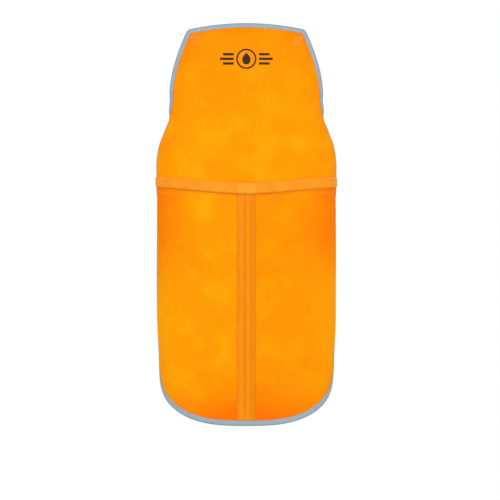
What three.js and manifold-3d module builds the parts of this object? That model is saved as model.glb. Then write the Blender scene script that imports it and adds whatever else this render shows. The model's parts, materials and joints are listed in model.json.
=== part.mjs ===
// Leather welding apron: a bib and two skirt panels, bound round the edge, with a waist
// belt in a leather casing, a side-release buckle and a neck strap on two steel rings.
// Millimetres, +Z up. The wearer's front faces -Y. The origin is the middle of the
// bib's top edge. Flat pieces are cut from a sheet in flat coordinates (u across, z up,
// w out of the leather) and then wrapped round the body form.

import * as THREE from "three";
import { mergeVertices } from "three/addons/utils/BufferGeometryUtils.js";
import Module from "manifold-3d";

const wasm = await Module();
wasm.setup();

// ---- overall sizes
const apronHeight = 990.6; // top edge to hem, down the middle
const apronHalfWidth = 330.2; // centre line to side edge, measured round the curve
const topHalfWidth = 145; // half of the bib's top edge
const topDip = 16; // how far the top corners lie below the middle
const armholeDepth = 345; // top edge to the corner under the arm
const underarmHalfWidth = 197; // bib half width where the armhole starts to flare
const underarmDepth = 190; // height of that point below the top edge
const hemStart = 370; // depth at which the side edge starts to curve in to the hem
const hemPower = 2.9; // squareness of the hem's corners
const cornerRadius = 8; // top corners
const sideCornerRadius = 20; // corners under the arm
const cornerAcross = 0.78; // where that corner starts, in from the side, in radii
const cornerUp = 0.63; // and above its middle
const cornerBulge = 0.4; // how far a top corner swells sideways, as a share of its radius
const bibEase = 19; // handle of the bib's side below the top corner, outwards
const bibEaseDepth = 60; // and its depth below the top
const underarmEase = 9; // handles beside the underarm point, in and out
const underarmEaseShare = 0.62; // depth of the upper one, as a share of the underarm's
const flareEase = 24; // depth of the lower one below the underarm
const flareOut = 53; // handle before the side corner, out from the underarm
const flareRise = 98; // and above the side corner
const edgeSteps = 6; // straight pieces in each curve of the edge
const hemSteps = 20;

// ---- body form: distance round the curve at which the surface faces sideways
const wrapStations = [
  [60, 430], [0, 420], [-90, 330], [-164, 262], [-225, 224], [-262, 237], [-300, 254],
  [-340, 262], [-380, 262], [-720, 262], [-850, 254], [-1400, 249],
];
const wrapPower = 3; // how late the front turns back; higher is flatter in front
const sheetCell = 22; // fold spacing round the body
const sheetRow = 52; // fold spacing down the body
const sheetMargin = 8; // sheet beyond the belt's fold
const sheetTop = 15; // sheet above the top edge, and below the hem
const cutDepth = 60; // a cutter reaches half of this each way
const overrun = 10; // how far a cutting line runs past what it cuts

// ---- materials and clearances
const gap = 0.3; // between sewn layers
const leather = 1.4; // panel thickness
const stripLeather = 1.2; // thickness of the centre strip
const casingLeather = 1; // thickness of the casing and its patch
const tape = 0.8; // binding tape thickness
const bibTape = 9.5; // width of the bib's binding on each face
const skirtTape = 12; // and of the skirt's
const webbing = 1.2; // webbing thickness
const webWidth = 20; // waist and neck webbing width

// ---- waist
const waistSideDepth = 404; // lower edge of the casing at the sides
const waistSag = 16; // how much lower it is in the middle
const casingHalfLength = 250;
const bibTuck = 1.5; // bib below the casing's lower edge
const casingSeam = 3.2; // sewn border beside the belt tunnel
const tunnelPlay = 0.8; // beside the webbing in its tunnel
const casingWidth = webWidth + 2 * (casingSeam + tunnelPlay);
const seamLap = 12; // bib over skirt
const patchHalfWidth = 22.5;
const patchInset = 1; // patch in from the casing's edges
const stripHalfWidth = 22.5;
const panelGap = 0.3; // between the two skirt panels

// ---- belt
const beltExit = 6; // from the side edge to the belt's fold
const stubLength = 12; // webbing below the fold, before it flexes
const flexGap = 1.5; // stretch of webbing that bends
const beltRun = 168; // flex line to the buckle bar
const beltLean = 6; // how far the hanging half turns inwards
const beltLeanDepth = 60; // over this depth below the flex
const tailLength = 90; // loose end of the adjustable half
const sewnTail = 32; // doubled end of the fixed half
const keeperHeight = 62; // above the plug's bar
const keeperLength = 9;
const keeperWall = 1.6;
const loopStraight = 12; // above a bar, where both layers run straight
const loopTaper = 22; // above a bar, where the tail lies flat
const beltStraight = 40;
const creaseHeight = 2; // crease of the fold, in webbing thicknesses

// ---- buckle
const barRadius = 1.3;
const cheekWidth = 2.4;
const cheekPlay = 1.1; // between webbing and cheek
const buckleWidth = webWidth + 2 * (cheekWidth + cheekPlay);
const cheekTop = 2; // cheek above its bar
const barClear = 1.2; // between the webbing loop and the buckle's body
const barInset = 0.5; // bar ends inside the cheeks
const socketLength = 34;
const socketDepth = 10;
const socketWall = 2;
const socketBrim = 1; // socket wider than the plug on each side
const socketRoof = 4; // solid top of the socket
const windowDrop = 9; // top of the socket's side windows
const windowLength = 12;
const plugBlock = 8;
const prongLength = 22;
const prongWidth = 3.2;
const prongThick = 4.6;
const barbReach = 2.4;
const barbTop = 0.45; // shares of the prong's length
const barbShoulder = 0.5;
const barbFoot = 0.62;
const tipInset = 0.8; // prong tip, in from its outer and inner faces
const tipSpread = 0.6;
const tongueWidth = 4;
const tongueShort = 3; // tongue shorter than the prongs

// ---- neck
const tabHeight = 30;
const tabTopDepth = 22; // loop of the tab, below the top edge
const tabOffset = 17; // tab centre, in from the top corner
const ringBar = 3;
const ringDrop = 15; // bar to bar
const ringRest = 0.5; // ring clear of the back of its tab
const ringPlay = 0.9; // beside the webbing in a ring
const tabTaper = 7; // below the loop, where its rear layer turns in
const tabTaperDepth = 1.5;
const tabFlat = 12; // and where it lies flat
const neckStraight = 105; // straight start of each leg of the strap
const neckDrop = 130; // depth of the hanging curve below that
const neckBow = 8; // how far that curve stands back
const neckSteps = 16;
const neckTail = 88; // free end beyond the ring, through the slider
const neckSewnTail = 34; // doubled end at the other ring
const neckTurn = 9; // below a ring, where an end turns in
const neckTurnDepth = 0.8;
const neckFlat = 14; // and where it lies flat
const neckRun = 20; // where the run of the strap straightens
const neckMiddle = 60;
const neckFree = 50; // middle of the free end
const sliderDepth = 46; // slider below the ring
const sliderLength = 14;
const sliderWall = 2;
const sliderBar = 1.8; // bar between the two layers

// ---- worked-out levels, outward from the leather's inner face
const skirtLevel = -(leather + gap);
const casingBase = leather + gap;
const webLevel = leather + gap + tape + gap;
const casingRoof = webLevel + webbing + gap;
const casingTop = casingRoof + casingLeather;
const stubLevel = webLevel - webbing - gap;

// ---- materials
const leatherMaterial = () => new THREE.MeshStandardMaterial({ color: 0xf79a1c, roughness: 0.88 });
const webMaterial = () => new THREE.MeshStandardMaterial({ color: 0xf0962c, roughness: 0.8 });
const tapeMaterial = () => new THREE.MeshStandardMaterial({ color: 0x8fa5b5, roughness: 0.75 });
const steelMaterial = () =>
  new THREE.MeshStandardMaterial({ color: 0xb9bdc2, roughness: 0.3, metalness: 1 });
const plasticMaterial = () => new THREE.MeshStandardMaterial({ color: 0x1b1b1d, roughness: 0.45 });

// ---- body form

// Smooth value between stations of [height, value], listed from the top down.
function stationValue(stations, height) {
  const last = stations.length - 2;
  let k = stations.findIndex((s, i) => i <= last && height >= stations[i + 1][0]);
  k = k < 0 ? last : k;
  const [h0, v0] = stations[k];
  const [h1, v1] = stations[k + 1];
  const [hb, vb] = stations[Math.max(k - 1, 0)];
  const [ha, va] = stations[Math.min(k + 2, last + 1)];
  const span = h1 - h0;
  const t = THREE.MathUtils.clamp((height - h0) / span, 0, 1);
  const slopeIn = ((v1 - vb) / (h1 - hb)) * span;
  const slopeOut = ((va - v0) / (ha - h0)) * span;
  const t2 = t * t;
  const t3 = t2 * t;
  return (2 * t3 - 3 * t2 + 1) * v0 + (t3 - 2 * t2 + t) * slopeIn
    + (3 * t2 - 2 * t3) * v1 + (t3 - t2) * slopeOut;
}

// Point of the wrapped surface and its outward direction.
function formPoint(u, z) {
  const wrap = stationValue(wrapStations, z);
  const steps = 32;
  const side = Math.sign(u);
  const reach = Math.abs(u);
  const heading = (s) => (Math.PI / 2) * Math.min((s / wrap) ** wrapPower, 1);
  let x = 0;
  let y = 0;
  for (let k = 0; k < steps; k++) {
    const middle = heading(((k + 0.5) * reach) / steps);
    x += (Math.cos(middle) * reach) / steps;
    y += (Math.sin(middle) * reach) / steps;
  }
  const turn = heading(reach);
  return {
    point: new THREE.Vector3(side * x, y, z),
    out: new THREE.Vector3(side * Math.sin(turn), -Math.cos(turn), 0),
  };
}

const sheetHalf = apronHalfWidth + beltExit + webWidth + sheetMargin;
const sheetColumns = 2 * Math.ceil(sheetHalf / sheetCell);
const sheetHeight = apronHeight + 2 * sheetTop;
const sheetRows = Math.ceil(sheetHeight / sheetRow);
const columnStep = (2 * sheetHalf) / sheetColumns;
const rowStep = sheetHeight / sheetRows;
const formCache = new Map();

function formCorner(column, row) {
  const key = column + row * 1000;
  if (!formCache.has(key)) {
    formCache.set(key, formPoint(column * columnStep - sheetHalf, sheetTop - row * rowStep));
  }
  return formCache.get(key);
}

// Flat coordinates to the wrapped, faceted surface. Every layer folds along the same lines.
function wrapPoint(u, z, w) {
  const across = (u + sheetHalf) / columnStep;
  const down = (sheetTop - z) / rowStep;
  const column = Math.min(Math.max(Math.floor(across), 0), sheetColumns - 1);
  const row = Math.min(Math.max(Math.floor(down), 0), sheetRows - 1);
  const fu = across - column;
  const fv = down - row;
  const lowerRight = fu + fv > 1;
  const base = lowerRight ? formCorner(column + 1, row + 1) : formCorner(column, row);
  const alongU = lowerRight ? formCorner(column, row + 1) : formCorner(column + 1, row);
  const alongV = lowerRight ? formCorner(column + 1, row) : formCorner(column, row + 1);
  const a = lowerRight ? 1 - fu : fu;
  const b = lowerRight ? 1 - fv : fv;
  const mix = (name) => base[name].clone().multiplyScalar(1 - a - b)
    .addScaledVector(alongU[name], a).addScaledVector(alongV[name], b);
  return mix("point").addScaledVector(mix("out"), w);
}

// ---- solids

function toManifold(geometry, keepFolds = false) {
  const bare = geometry.clone();
  bare.deleteAttribute("normal");
  bare.deleteAttribute("uv");
  const merged = mergeVertices(bare, 1e-4);
  const triVerts = new Uint32Array(merged.index.array);
  const options = { numProp: 3, vertProperties: merged.attributes.position.array, triVerts };
  if (keepFolds) options.faceID = Uint32Array.from({ length: triVerts.length / 3 }, (_, k) => k);
  return new wasm.Manifold(new wasm.Mesh(options));
}

function toGeometry(solid) {
  const mesh = solid.getMesh();
  const geometry = new THREE.BufferGeometry();
  geometry.setAttribute("position", new THREE.BufferAttribute(mesh.vertProperties, 3));
  geometry.setIndex(new THREE.BufferAttribute(mesh.triVerts, 1));
  return geometry;
}

// Whole sheet between two levels, with the fold lines on both faces running the same way.
function sheet(low, high) {
  const slab = new THREE.BoxGeometry(2 * sheetHalf, sheetHeight, high - low, sheetColumns, sheetRows, 1);
  const back = slab.groups[5];
  const index = slab.index;
  for (let k = back.start; k < back.start + back.count; k += 6) {
    const [a, b, d, c] = [index.getX(k), index.getX(k + 1), index.getX(k + 2), index.getX(k + 4)];
    [a, b, c, a, c, d].forEach((vertex, step) => index.setX(k + step, vertex));
  }
  slab.translate(0, sheetTop - sheetHeight / 2, (low + high) / 2);
  return toManifold(slab, true);
}

// Straight-sided cutter over an outline in flat coordinates.
function cutter(outline, hole) {
  const shape = new THREE.Shape(outline);
  if (hole) shape.holes.push(new THREE.Path(hole));
  const geometry = new THREE.ExtrudeGeometry(shape, { depth: cutDepth, bevelEnabled: false });
  geometry.translate(0, 0, -cutDepth / 2);
  return toManifold(geometry);
}

function wrapped(solid) {
  const geometry = toGeometry(solid);
  const position = geometry.attributes.position;
  for (let k = 0; k < position.count; k++) {
    const p = wrapPoint(position.getX(k), position.getY(k), position.getZ(k));
    position.setXYZ(k, p.x, p.y, p.z);
  }
  return geometry;
}

const part = new THREE.Group();

function addPiece(name, geometry, material) {
  const bare = geometry.index ? geometry.toNonIndexed() : geometry;
  bare.computeVertexNormals();
  const mesh = new THREE.Mesh(bare, material);
  mesh.name = name;
  part.add(mesh);
  return mesh;
}

// ---- outlines in flat coordinates

// Right-hand edge of the apron from the middle of the top to the middle of the hem.
function rightEdge() {
  const path = new THREE.Path();
  const cornerStart = topHalfWidth - cornerRadius;
  path.moveTo(0, 0);
  path.quadraticCurveTo(cornerStart / 2, 0, cornerStart, -topDip * (cornerStart / topHalfWidth) ** 2);
  const bibCornerX = topHalfWidth + cornerRadius * cornerBulge;
  path.quadraticCurveTo(topHalfWidth, -topDip, bibCornerX, -topDip - cornerRadius);
  path.bezierCurveTo(topHalfWidth + bibEase, -bibEaseDepth, underarmHalfWidth - underarmEase,
    -underarmDepth * underarmEaseShare, underarmHalfWidth, -underarmDepth);
  const flareEnd = new THREE.Vector2(apronHalfWidth - cornerAcross * sideCornerRadius,
    -armholeDepth + cornerUp * sideCornerRadius);
  path.bezierCurveTo(underarmHalfWidth + underarmEase, -underarmDepth - flareEase,
    underarmHalfWidth + flareOut, -armholeDepth + flareRise, flareEnd.x, flareEnd.y);
  path.quadraticCurveTo(apronHalfWidth, -armholeDepth, apronHalfWidth, -armholeDepth - sideCornerRadius);
  const points = path.getPoints(edgeSteps);
  const hemDepth = apronHeight - hemStart;
  for (let k = 0; k <= hemSteps; k++) {
    const turn = (Math.PI / 2) * (k / hemSteps);
    const u = apronHalfWidth * Math.cos(turn) ** (2 / hemPower);
    const z = -hemStart - hemDepth * Math.sin(turn) ** (2 / hemPower);
    points.push(new THREE.Vector2(k === hemSteps ? 0 : u, z));
  }
  return points;
}

const edge = rightEdge();

// The same edge moved inwards by an amount, negative for outwards.
function insetEdge(inset) {
  return edge.map((p, k) => {
    if (k === 0) return new THREE.Vector2(0, -inset);
    if (k === edge.length - 1) return new THREE.Vector2(0, p.y + inset);
    const along = edge[k + 1].clone().sub(edge[k - 1]).normalize();
    return new THREE.Vector2(p.x + along.y * inset, p.y - along.x * inset);
  });
}

function closedOutline(inset) {
  const right = insetEdge(inset);
  const left = right.slice(1, -1).reverse().map((p) => new THREE.Vector2(-p.x, p.y));
  return [...right, ...left];
}

// Lower edge of the belt casing.
function waistLine(u) {
  const t = Math.min(Math.abs(u) / casingHalfLength, 1);
  return -waistSideDepth - waistSag * (1 - t * t * (3 - 2 * t));
}

// Region between two curves z(u), over a stretch of u.
function band(lower, upper, from, to) {
  const steps = Math.max(2, Math.ceil((to - from) / columnStep));
  const at = (k) => from + ((to - from) * k) / steps;
  const points = [];
  for (let k = 0; k <= steps; k++) points.push(new THREE.Vector2(at(k), lower(at(k))));
  for (let k = steps; k >= 0; k--) points.push(new THREE.Vector2(at(k), upper(at(k))));
  return points;
}

// ---- leather panels and binding

const far = 1.2 * sheetHeight;
const wide = sheetHalf + overrun;
const bibFoot = (u) => waistLine(u) - bibTuck;
const skirtHead = (u) => bibFoot(u) + seamLap;
const bindingSplit = -waistSideDepth - bibTuck;

function addPanels() {
  const outline = cutter(closedOutline(0));
  const bib = sheet(0, leather).intersect(outline)
    .intersect(cutter(band(bibFoot, () => far, -wide, wide)));
  addPiece("bib_panel", wrapped(bib), leatherMaterial());
  const notch = cutter(closedOutline(-sideCornerRadius / 2), closedOutline(bibTape + gap).reverse())
    .intersect(cutter(band(() => bindingSplit - gap, () => far, -wide, wide)));
  const skirtSheet = sheet(skirtLevel, skirtLevel + leather).intersect(outline).subtract(notch);
  const middle = panelGap / 2;
  const sides = { left: [-wide, -middle], right: [middle, wide] };
  for (const [side, [from, to]] of Object.entries(sides)) {
    const panel = skirtSheet.intersect(cutter(band(() => -far, skirtHead, from, to)));
    addPiece(`${side}_skirt_panel`, wrapped(panel), leatherMaterial());
  }
}

function bindingRing(level, width) {
  const ring = sheet(level - gap - tape, level + leather + gap + tape)
    .intersect(cutter(closedOutline(-gap - tape), closedOutline(width).reverse()));
  const slot = sheet(level - gap, level + leather + gap)
    .intersect(cutter(closedOutline(-gap), closedOutline(width + overrun).reverse()));
  return ring.subtract(slot);
}

function addBindings() {
  const above = cutter(band(() => bindingSplit + gap / 2, () => far, -wide, wide));
  const below = cutter(band(() => -far, () => bindingSplit - gap / 2, -wide, wide));
  addPiece("bib_binding", wrapped(bindingRing(0, bibTape).intersect(above)), tapeMaterial());
  addPiece("skirt_binding", wrapped(bindingRing(skirtLevel, skirtTape).intersect(below)), tapeMaterial());
}

// ---- waist casing, its patch, the centre strip and the webbing inside

function addWaist() {
  const reach = casingHalfLength;
  const top = (u) => waistLine(u) + casingWidth;
  const tunnelLow = (u) => waistLine(u) + casingSeam;
  const tunnelTop = (u) => waistLine(u) + casingWidth - casingSeam;
  const block = sheet(casingBase, casingTop).intersect(cutter(band(waistLine, top, -reach, reach)));
  const tunnel = sheet(casingBase - gap, casingRoof)
    .intersect(cutter(band(tunnelLow, tunnelTop, -reach - overrun, reach + overrun)));
  addPiece("waist_casing", wrapped(block.subtract(tunnel)), leatherMaterial());

  const patchLow = (u) => waistLine(u) + patchInset;
  const patchTop = (u) => waistLine(u) + casingWidth - patchInset;
  const patch = sheet(casingTop + gap, casingTop + gap + casingLeather)
    .intersect(cutter(band(patchLow, patchTop, -patchHalfWidth, patchHalfWidth)));
  addPiece("casing_centre_patch", wrapped(patch), leatherMaterial());

  const stripTop = (u) => bibFoot(u) - gap;
  const stripLevel = skirtLevel + leather + gap;
  const inside = cutter(closedOutline(skirtTape + gap));
  const strip = sheet(stripLevel, stripLevel + stripLeather).intersect(inside)
    .intersect(cutter(band(() => -far, stripTop, -stripHalfWidth, stripHalfWidth)));
  addPiece("centre_seam_strip", wrapped(strip), leatherMaterial());
}

const beltMiddle = (u) => waistLine(u) + casingWidth / 2;
const foldStart = apronHalfWidth + beltExit;
const foldEnd = foldStart + webWidth;
const beltLow = beltMiddle(foldStart) - webWidth / 2;
const beltTop = beltMiddle(foldStart) + webWidth / 2;
const stubFoot = beltLow - stubLength;

function addWaistWebbing() {
  const low = (u) => beltMiddle(u) - webWidth / 2;
  const top = (u) => beltMiddle(u) + webWidth / 2;
  const creaseSize = creaseHeight * webbing;
  let web = sheet(webLevel, webLevel + webbing).intersect(cutter(band(low, top, -foldEnd, foldEnd)));
  for (const side of [1, -1]) {
    const past = side * (foldEnd + overrun);
    const corner = cutter([
      new THREE.Vector2(side * foldStart, beltTop + overrun), new THREE.Vector2(past, beltTop + overrun),
      new THREE.Vector2(past, beltLow), new THREE.Vector2(side * foldEnd, beltLow),
      new THREE.Vector2(side * foldStart, beltTop),
    ]);
    web = web.subtract(corner);
    const down = sheet(stubLevel, stubLevel + webbing).intersect(cutter([
      new THREE.Vector2(side * foldStart, beltTop), new THREE.Vector2(side * foldStart, stubFoot),
      new THREE.Vector2(side * foldEnd, stubFoot), new THREE.Vector2(side * foldEnd, beltLow),
    ]));
    const crease = sheet(stubLevel, webLevel + webbing).intersect(cutter([
      new THREE.Vector2(side * foldStart, beltTop), new THREE.Vector2(side * foldStart, beltTop - creaseSize),
      new THREE.Vector2(side * (foldEnd - creaseSize), beltLow), new THREE.Vector2(side * foldEnd, beltLow),
    ]));
    web = web.add(down).add(crease);
  }
  addPiece("waist_webbing", wrapped(web), webMaterial());
}

// ---- webbing swept along a path: points with the direction of the width at each

function sweptWebbing(path, widthDirections, width, thickness) {
  const steps = path.length - 1;
  const geometry = new THREE.BoxGeometry(steps, width, thickness, steps, 1, 1);
  const position = geometry.attributes.position;
  for (let k = 0; k < position.count; k++) {
    const station = Math.round(position.getX(k) + steps / 2);
    const before = path[Math.max(station - 1, 0)];
    const after = path[Math.min(station + 1, steps)];
    const along = after.clone().sub(before).normalize();
    const across = widthDirections[station].clone();
    across.addScaledVector(along, -across.dot(along)).normalize();
    const face = along.clone().cross(across);
    const p = path[station].clone()
      .addScaledVector(across, position.getY(k))
      .addScaledVector(face, position.getZ(k));
    position.setXYZ(k, p.x, p.y, p.z);
  }
  return geometry;
}

// Half-circle of points round a bar, in the plane of two directions.
function loopRound(centre, radius, start, over, steps = 8) {
  const points = [];
  for (let k = 0; k <= steps; k++) {
    const turn = (Math.PI * k) / steps;
    points.push(centre.clone().addScaledVector(start, radius * Math.cos(turn))
      .addScaledVector(over, radius * Math.sin(turn)));
  }
  return points;
}

// ---- belt halves, hanging from the fold behind each side edge

const flexLine = wrapPoint(foldStart + webWidth / 2, stubFoot, stubLevel + webbing / 2);
const beltX = flexLine.x;
const beltY = flexLine.y;
const runX = beltX - beltLean;
const flexHeight = stubFoot - flexGap / 2;
const barHeight = flexHeight - beltRun;
const loopRadius = barRadius + gap + webbing / 2;
const tailInset = webbing + gap * 2; // from the run of the belt to its tail

// The half hangs on the outer side of its bar, loops under it and comes back up inside.
function addBeltStrap(side, name, tail) {
  const out = new THREE.Vector3(side, 0, 0);
  const down = new THREE.Vector3(0, 0, -1);
  const barCentre = new THREE.Vector3(side * runX, beltY, barHeight).addScaledVector(out, -loopRadius);
  const path = [
    new THREE.Vector3(side * beltX, beltY, flexHeight - flexGap / 2),
    new THREE.Vector3(side * runX, beltY, flexHeight - beltLeanDepth),
    new THREE.Vector3(side * runX, beltY, barHeight + beltStraight),
    new THREE.Vector3(side * runX, beltY, barHeight + loopStraight),
    ...loopRound(barCentre, loopRadius, out, down),
  ];
  path.push(new THREE.Vector3(side * (runX - tailInset), beltY, barHeight + loopStraight));
  path.push(new THREE.Vector3(side * (runX - tailInset), beltY, barHeight + loopTaper));
  path.push(new THREE.Vector3(side * (runX - tailInset), beltY, barHeight + tail));
  const widthDirection = new THREE.Vector3(0, 1, 0);
  addPiece(name, sweptWebbing(path, path.map(() => widthDirection), webWidth, webbing), webMaterial());
  return barCentre;
}

// Box given by its lowest and highest corners.
function boxBetween(low, high) {
  const size = high.map((value, k) => value - low[k]);
  const box = new THREE.BoxGeometry(...size);
  box.translate(low[0] + size[0] / 2, low[1] + size[1] / 2, low[2] + size[2] / 2);
  return box;
}

// Buckle solids in their own frame: bar at the origin along Y, the buckle below it.
function barAndCheeks(depth, blockTop) {
  const half = buckleWidth / 2;
  const bar = new THREE.CylinderGeometry(barRadius, barRadius, buckleWidth - 2 * barInset, 12);
  let solid = toManifold(bar);
  for (const side of [1, -1]) {
    const y = side > 0 ? half - cheekWidth : -half;
    const cheek = boxBetween([-depth / 2, y, -blockTop - 1],
      [depth / 2, y + cheekWidth, barRadius + cheekTop]);
    solid = solid.add(toManifold(cheek));
  }
  return solid;
}

const blockTop = loopRadius + webbing / 2 + barClear;
const socketMouth = blockTop + socketLength;

function addSocket(barCentre) {
  const half = buckleWidth / 2 + socketBrim;
  const body = toManifold(boxBetween([-socketDepth / 2, -half, -socketMouth],
    [socketDepth / 2, half, -blockTop]));
  const inner = socketDepth / 2 - socketWall;
  const cavity = toManifold(boxBetween([-inner, -half + socketWall, -socketMouth - overrun],
    [inner, half - socketWall, -blockTop - socketRoof]));
  const windowTop = -blockTop - windowDrop;
  const windows = toManifold(boxBetween([-inner, -half - overrun, windowTop - windowLength],
    [inner, half + overrun, windowTop]));
  const solid = barAndCheeks(socketDepth, blockTop).add(body).subtract(cavity).subtract(windows);
  const geometry = toGeometry(solid);
  geometry.translate(barCentre.x, barCentre.y, barCentre.z);
  addPiece("buckle_socket", geometry, plasticMaterial());
}

const cavityHalf = buckleWidth / 2 + socketBrim - socketWall;
const prongReach = cavityHalf - gap - barbReach;
const prongRoot = -blockTop - plugBlock;

function addPlug(barCentre) {
  const depth = socketDepth - 2 * socketWall - 2 * gap;
  const block = toManifold(boxBetween([-depth / 2, -buckleWidth / 2, -blockTop - plugBlock],
    [depth / 2, buckleWidth / 2, -blockTop]));
  const tongueFoot = prongRoot - prongLength + tongueShort;
  const tongue = toManifold(boxBetween([-prongThick / 2, -tongueWidth / 2, tongueFoot],
    [prongThick / 2, tongueWidth / 2, prongRoot + 1]));
  const body = toGeometry(barAndCheeks(depth, blockTop).add(block).add(tongue));
  body.translate(barCentre.x, barCentre.y, barCentre.z);
  addPiece("buckle_plug", body, plasticMaterial());
  for (const [name, side] of [["front_prong", -1], ["rear_prong", 1]]) {
    const outline = new THREE.Shape([
      new THREE.Vector2(prongReach - prongWidth, 0), new THREE.Vector2(prongReach, 0),
      new THREE.Vector2(prongReach, -prongLength * barbTop),
      new THREE.Vector2(prongReach + barbReach, -prongLength * barbShoulder),
      new THREE.Vector2(prongReach + barbReach, -prongLength * barbFoot),
      new THREE.Vector2(prongReach - tipInset, -prongLength),
      new THREE.Vector2(prongReach - prongWidth - tipSpread, -prongLength),
    ].map((p) => new THREE.Vector2(side * p.x, p.y)));
    const prong = new THREE.ExtrudeGeometry(outline, { depth: prongThick, bevelEnabled: false });
    prong.translate(0, 0, -prongThick / 2);
    prong.rotateX(Math.PI / 2);
    prong.rotateZ(Math.PI / 2);
    prong.translate(barCentre.x, barCentre.y, barCentre.z + prongRoot - gap);
    addPiece(name, prong, plasticMaterial());
  }
}

// Sleeve round the webbing, along Z, with its inside given by half sizes.
function sleeve(halfX, halfY, wall, length) {
  const outer = toManifold(boxBetween([-halfX - wall, -halfY - wall, -length / 2],
    [halfX + wall, halfY + wall, length / 2]));
  return outer.subtract(toManifold(boxBetween([-halfX, -halfY, -length], [halfX, halfY, length])));
}

function addKeeper(side) {
  const halfX = (tailInset + webbing) / 2 + gap;
  const geometry = toGeometry(sleeve(halfX, webWidth / 2 + gap, keeperWall, keeperLength));
  geometry.translate(side * (runX - tailInset / 2), beltY, barHeight + keeperHeight);
  addPiece("belt_keeper", geometry, plasticMaterial());
}

// ---- neck: tabs sewn behind the top corners, rings, strap and slider

const tabX = topHalfWidth - tabOffset;
const hingeRadius = ringBar / Math.SQRT2 + gap;
const tabLoop = hingeRadius + webbing / 2;
const tabClear = -(gap + tape + gap);
const tabBack = wrapPoint(tabX + webWidth / 2, -tabTopDepth - tabHeight, tabClear).y;
const hingeY = tabBack + webbing / 2 + tabLoop;
const hingeZ = -tabTopDepth;
const ringTilt = Math.asin((tabLoop + webbing / 2 + gap + ringBar / 2 + ringRest) / ringDrop);
const ringY = hingeY + ringDrop * Math.sin(ringTilt);
const ringZ = hingeZ - ringDrop * Math.cos(ringTilt);

function addTabs() {
  const front = new THREE.Vector3(0, -1, 0);
  const up = new THREE.Vector3(0, 0, 1);
  for (const [name, side] of [["left_neck_tab", -1], ["right_neck_tab", 1]]) {
    const centre = new THREE.Vector3(side * tabX, hingeY, hingeZ);
    const foot = hingeZ - tabHeight;
    const inner = hingeY - tabLoop + webbing + gap;
    const path = [
      new THREE.Vector3(side * tabX, hingeY - tabLoop, foot),
      ...loopRound(centre, tabLoop, front, up),
      new THREE.Vector3(side * tabX, inner + tabTaperDepth, hingeZ - tabTaper),
      new THREE.Vector3(side * tabX, inner, hingeZ - tabFlat),
      new THREE.Vector3(side * tabX, inner, foot),
    ];
    const across = new THREE.Vector3(1, 0, 0);
    addPiece(name, sweptWebbing(path, path.map(() => across), webWidth, webbing), webMaterial());
  }
}

function ringGeometry() {
  const half = webWidth / 2 + ringPlay;
  const outer = new THREE.Shape();
  const reach = half + ringBar;
  outer.moveTo(-reach, ringBar / 2).lineTo(reach, ringBar / 2);
  outer.lineTo(reach, -ringDrop - ringBar / 2).lineTo(-reach, -ringDrop - ringBar / 2);
  const inner = new THREE.Path();
  inner.moveTo(-half, -ringBar / 2).lineTo(-half, -ringDrop + ringBar / 2);
  inner.lineTo(half, -ringDrop + ringBar / 2).lineTo(half, -ringBar / 2);
  outer.holes.push(inner);
  const ring = new THREE.ExtrudeGeometry(outer, { depth: ringBar, bevelEnabled: false });
  ring.translate(0, 0, -ringBar / 2);
  ring.rotateX(Math.PI / 2 + ringTilt);
  return ring;
}

function addRings() {
  for (const [name, side] of [["left_neck_ring", -1], ["right_neck_ring", 1]]) {
    const ring = ringGeometry();
    ring.translate(side * tabX, hingeY, hingeZ);
    addPiece(name, ring, steelMaterial());
  }
}

// The strap hangs from the lower bars of both rings, front layer running on, rear layer
// ending. Its width turns from across to front-to-back as it rounds the bottom.
const runY = ringY - tabLoop;
const endY = runY + webbing + sliderBar + 2 * gap;
const sewnY = runY + webbing + gap * 2;
const sliderZ = ringZ - sliderDepth;

function addNeckStrap() {
  const back = new THREE.Vector3(0, 1, 0);
  const front = new THREE.Vector3(0, -1, 0);
  const up = new THREE.Vector3(0, 0, 1);
  const path = [];
  const across = [];
  const add = (points, direction) => {
    for (const p of points) {
      path.push(p);
      across.push(direction);
    }
  };
  const at = (side, y, below) => new THREE.Vector3(side * tabX, y, ringZ - below);
  const outward = new THREE.Vector3(1, 0, 0);
  const sewnTurn = at(-1, sewnY + neckTurnDepth, neckTurn);
  add([at(-1, sewnY, neckSewnTail), at(-1, sewnY, neckFlat), sewnTurn], outward);
  add(loopRound(at(-1, ringY, 0), tabLoop, back, up), outward);
  add([at(-1, runY, neckRun), at(-1, runY, neckMiddle), at(-1, runY, neckStraight)], outward);
  for (let k = 1; k < neckSteps; k++) {
    const turn = (Math.PI * k) / neckSteps;
    const x = -tabX * Math.cos(turn);
    const y = runY + neckBow * Math.sin(turn);
    path.push(new THREE.Vector3(x, y, ringZ - neckStraight - neckDrop * Math.sin(turn)));
    across.push(new THREE.Vector3(Math.cos(turn), Math.sin(turn), 0));
  }
  const inward = new THREE.Vector3(-1, 0, 0);
  add([at(1, runY, neckStraight), at(1, runY, neckMiddle), at(1, runY, neckRun)], inward);
  add(loopRound(at(1, ringY, 0), tabLoop, front, up), inward);
  const freeTurn = at(1, endY + neckTurnDepth, neckTurn);
  add([freeTurn, at(1, endY, neckFlat), at(1, endY, neckFree), at(1, endY, neckTail)], inward);
  addPiece("neck_strap", sweptWebbing(path, across, webWidth, webbing), webMaterial());
}

function addSlider() {
  const half = webWidth / 2 + gap;
  const slot = webbing / 2 + gap;
  const length = sliderLength / 2;
  let solid = toManifold(boxBetween([-half - sliderWall, runY - slot - sliderWall, -length],
    [half + sliderWall, endY + slot + sliderWall, length]));
  for (const y of [runY, endY]) {
    solid = solid.subtract(toManifold(boxBetween([-half, y - slot, -length - overrun],
      [half, y + slot, length + overrun])));
  }
  const geometry = toGeometry(solid);
  geometry.translate(tabX, 0, sliderZ);
  addPiece("neck_slider", geometry, plasticMaterial());
}

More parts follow.
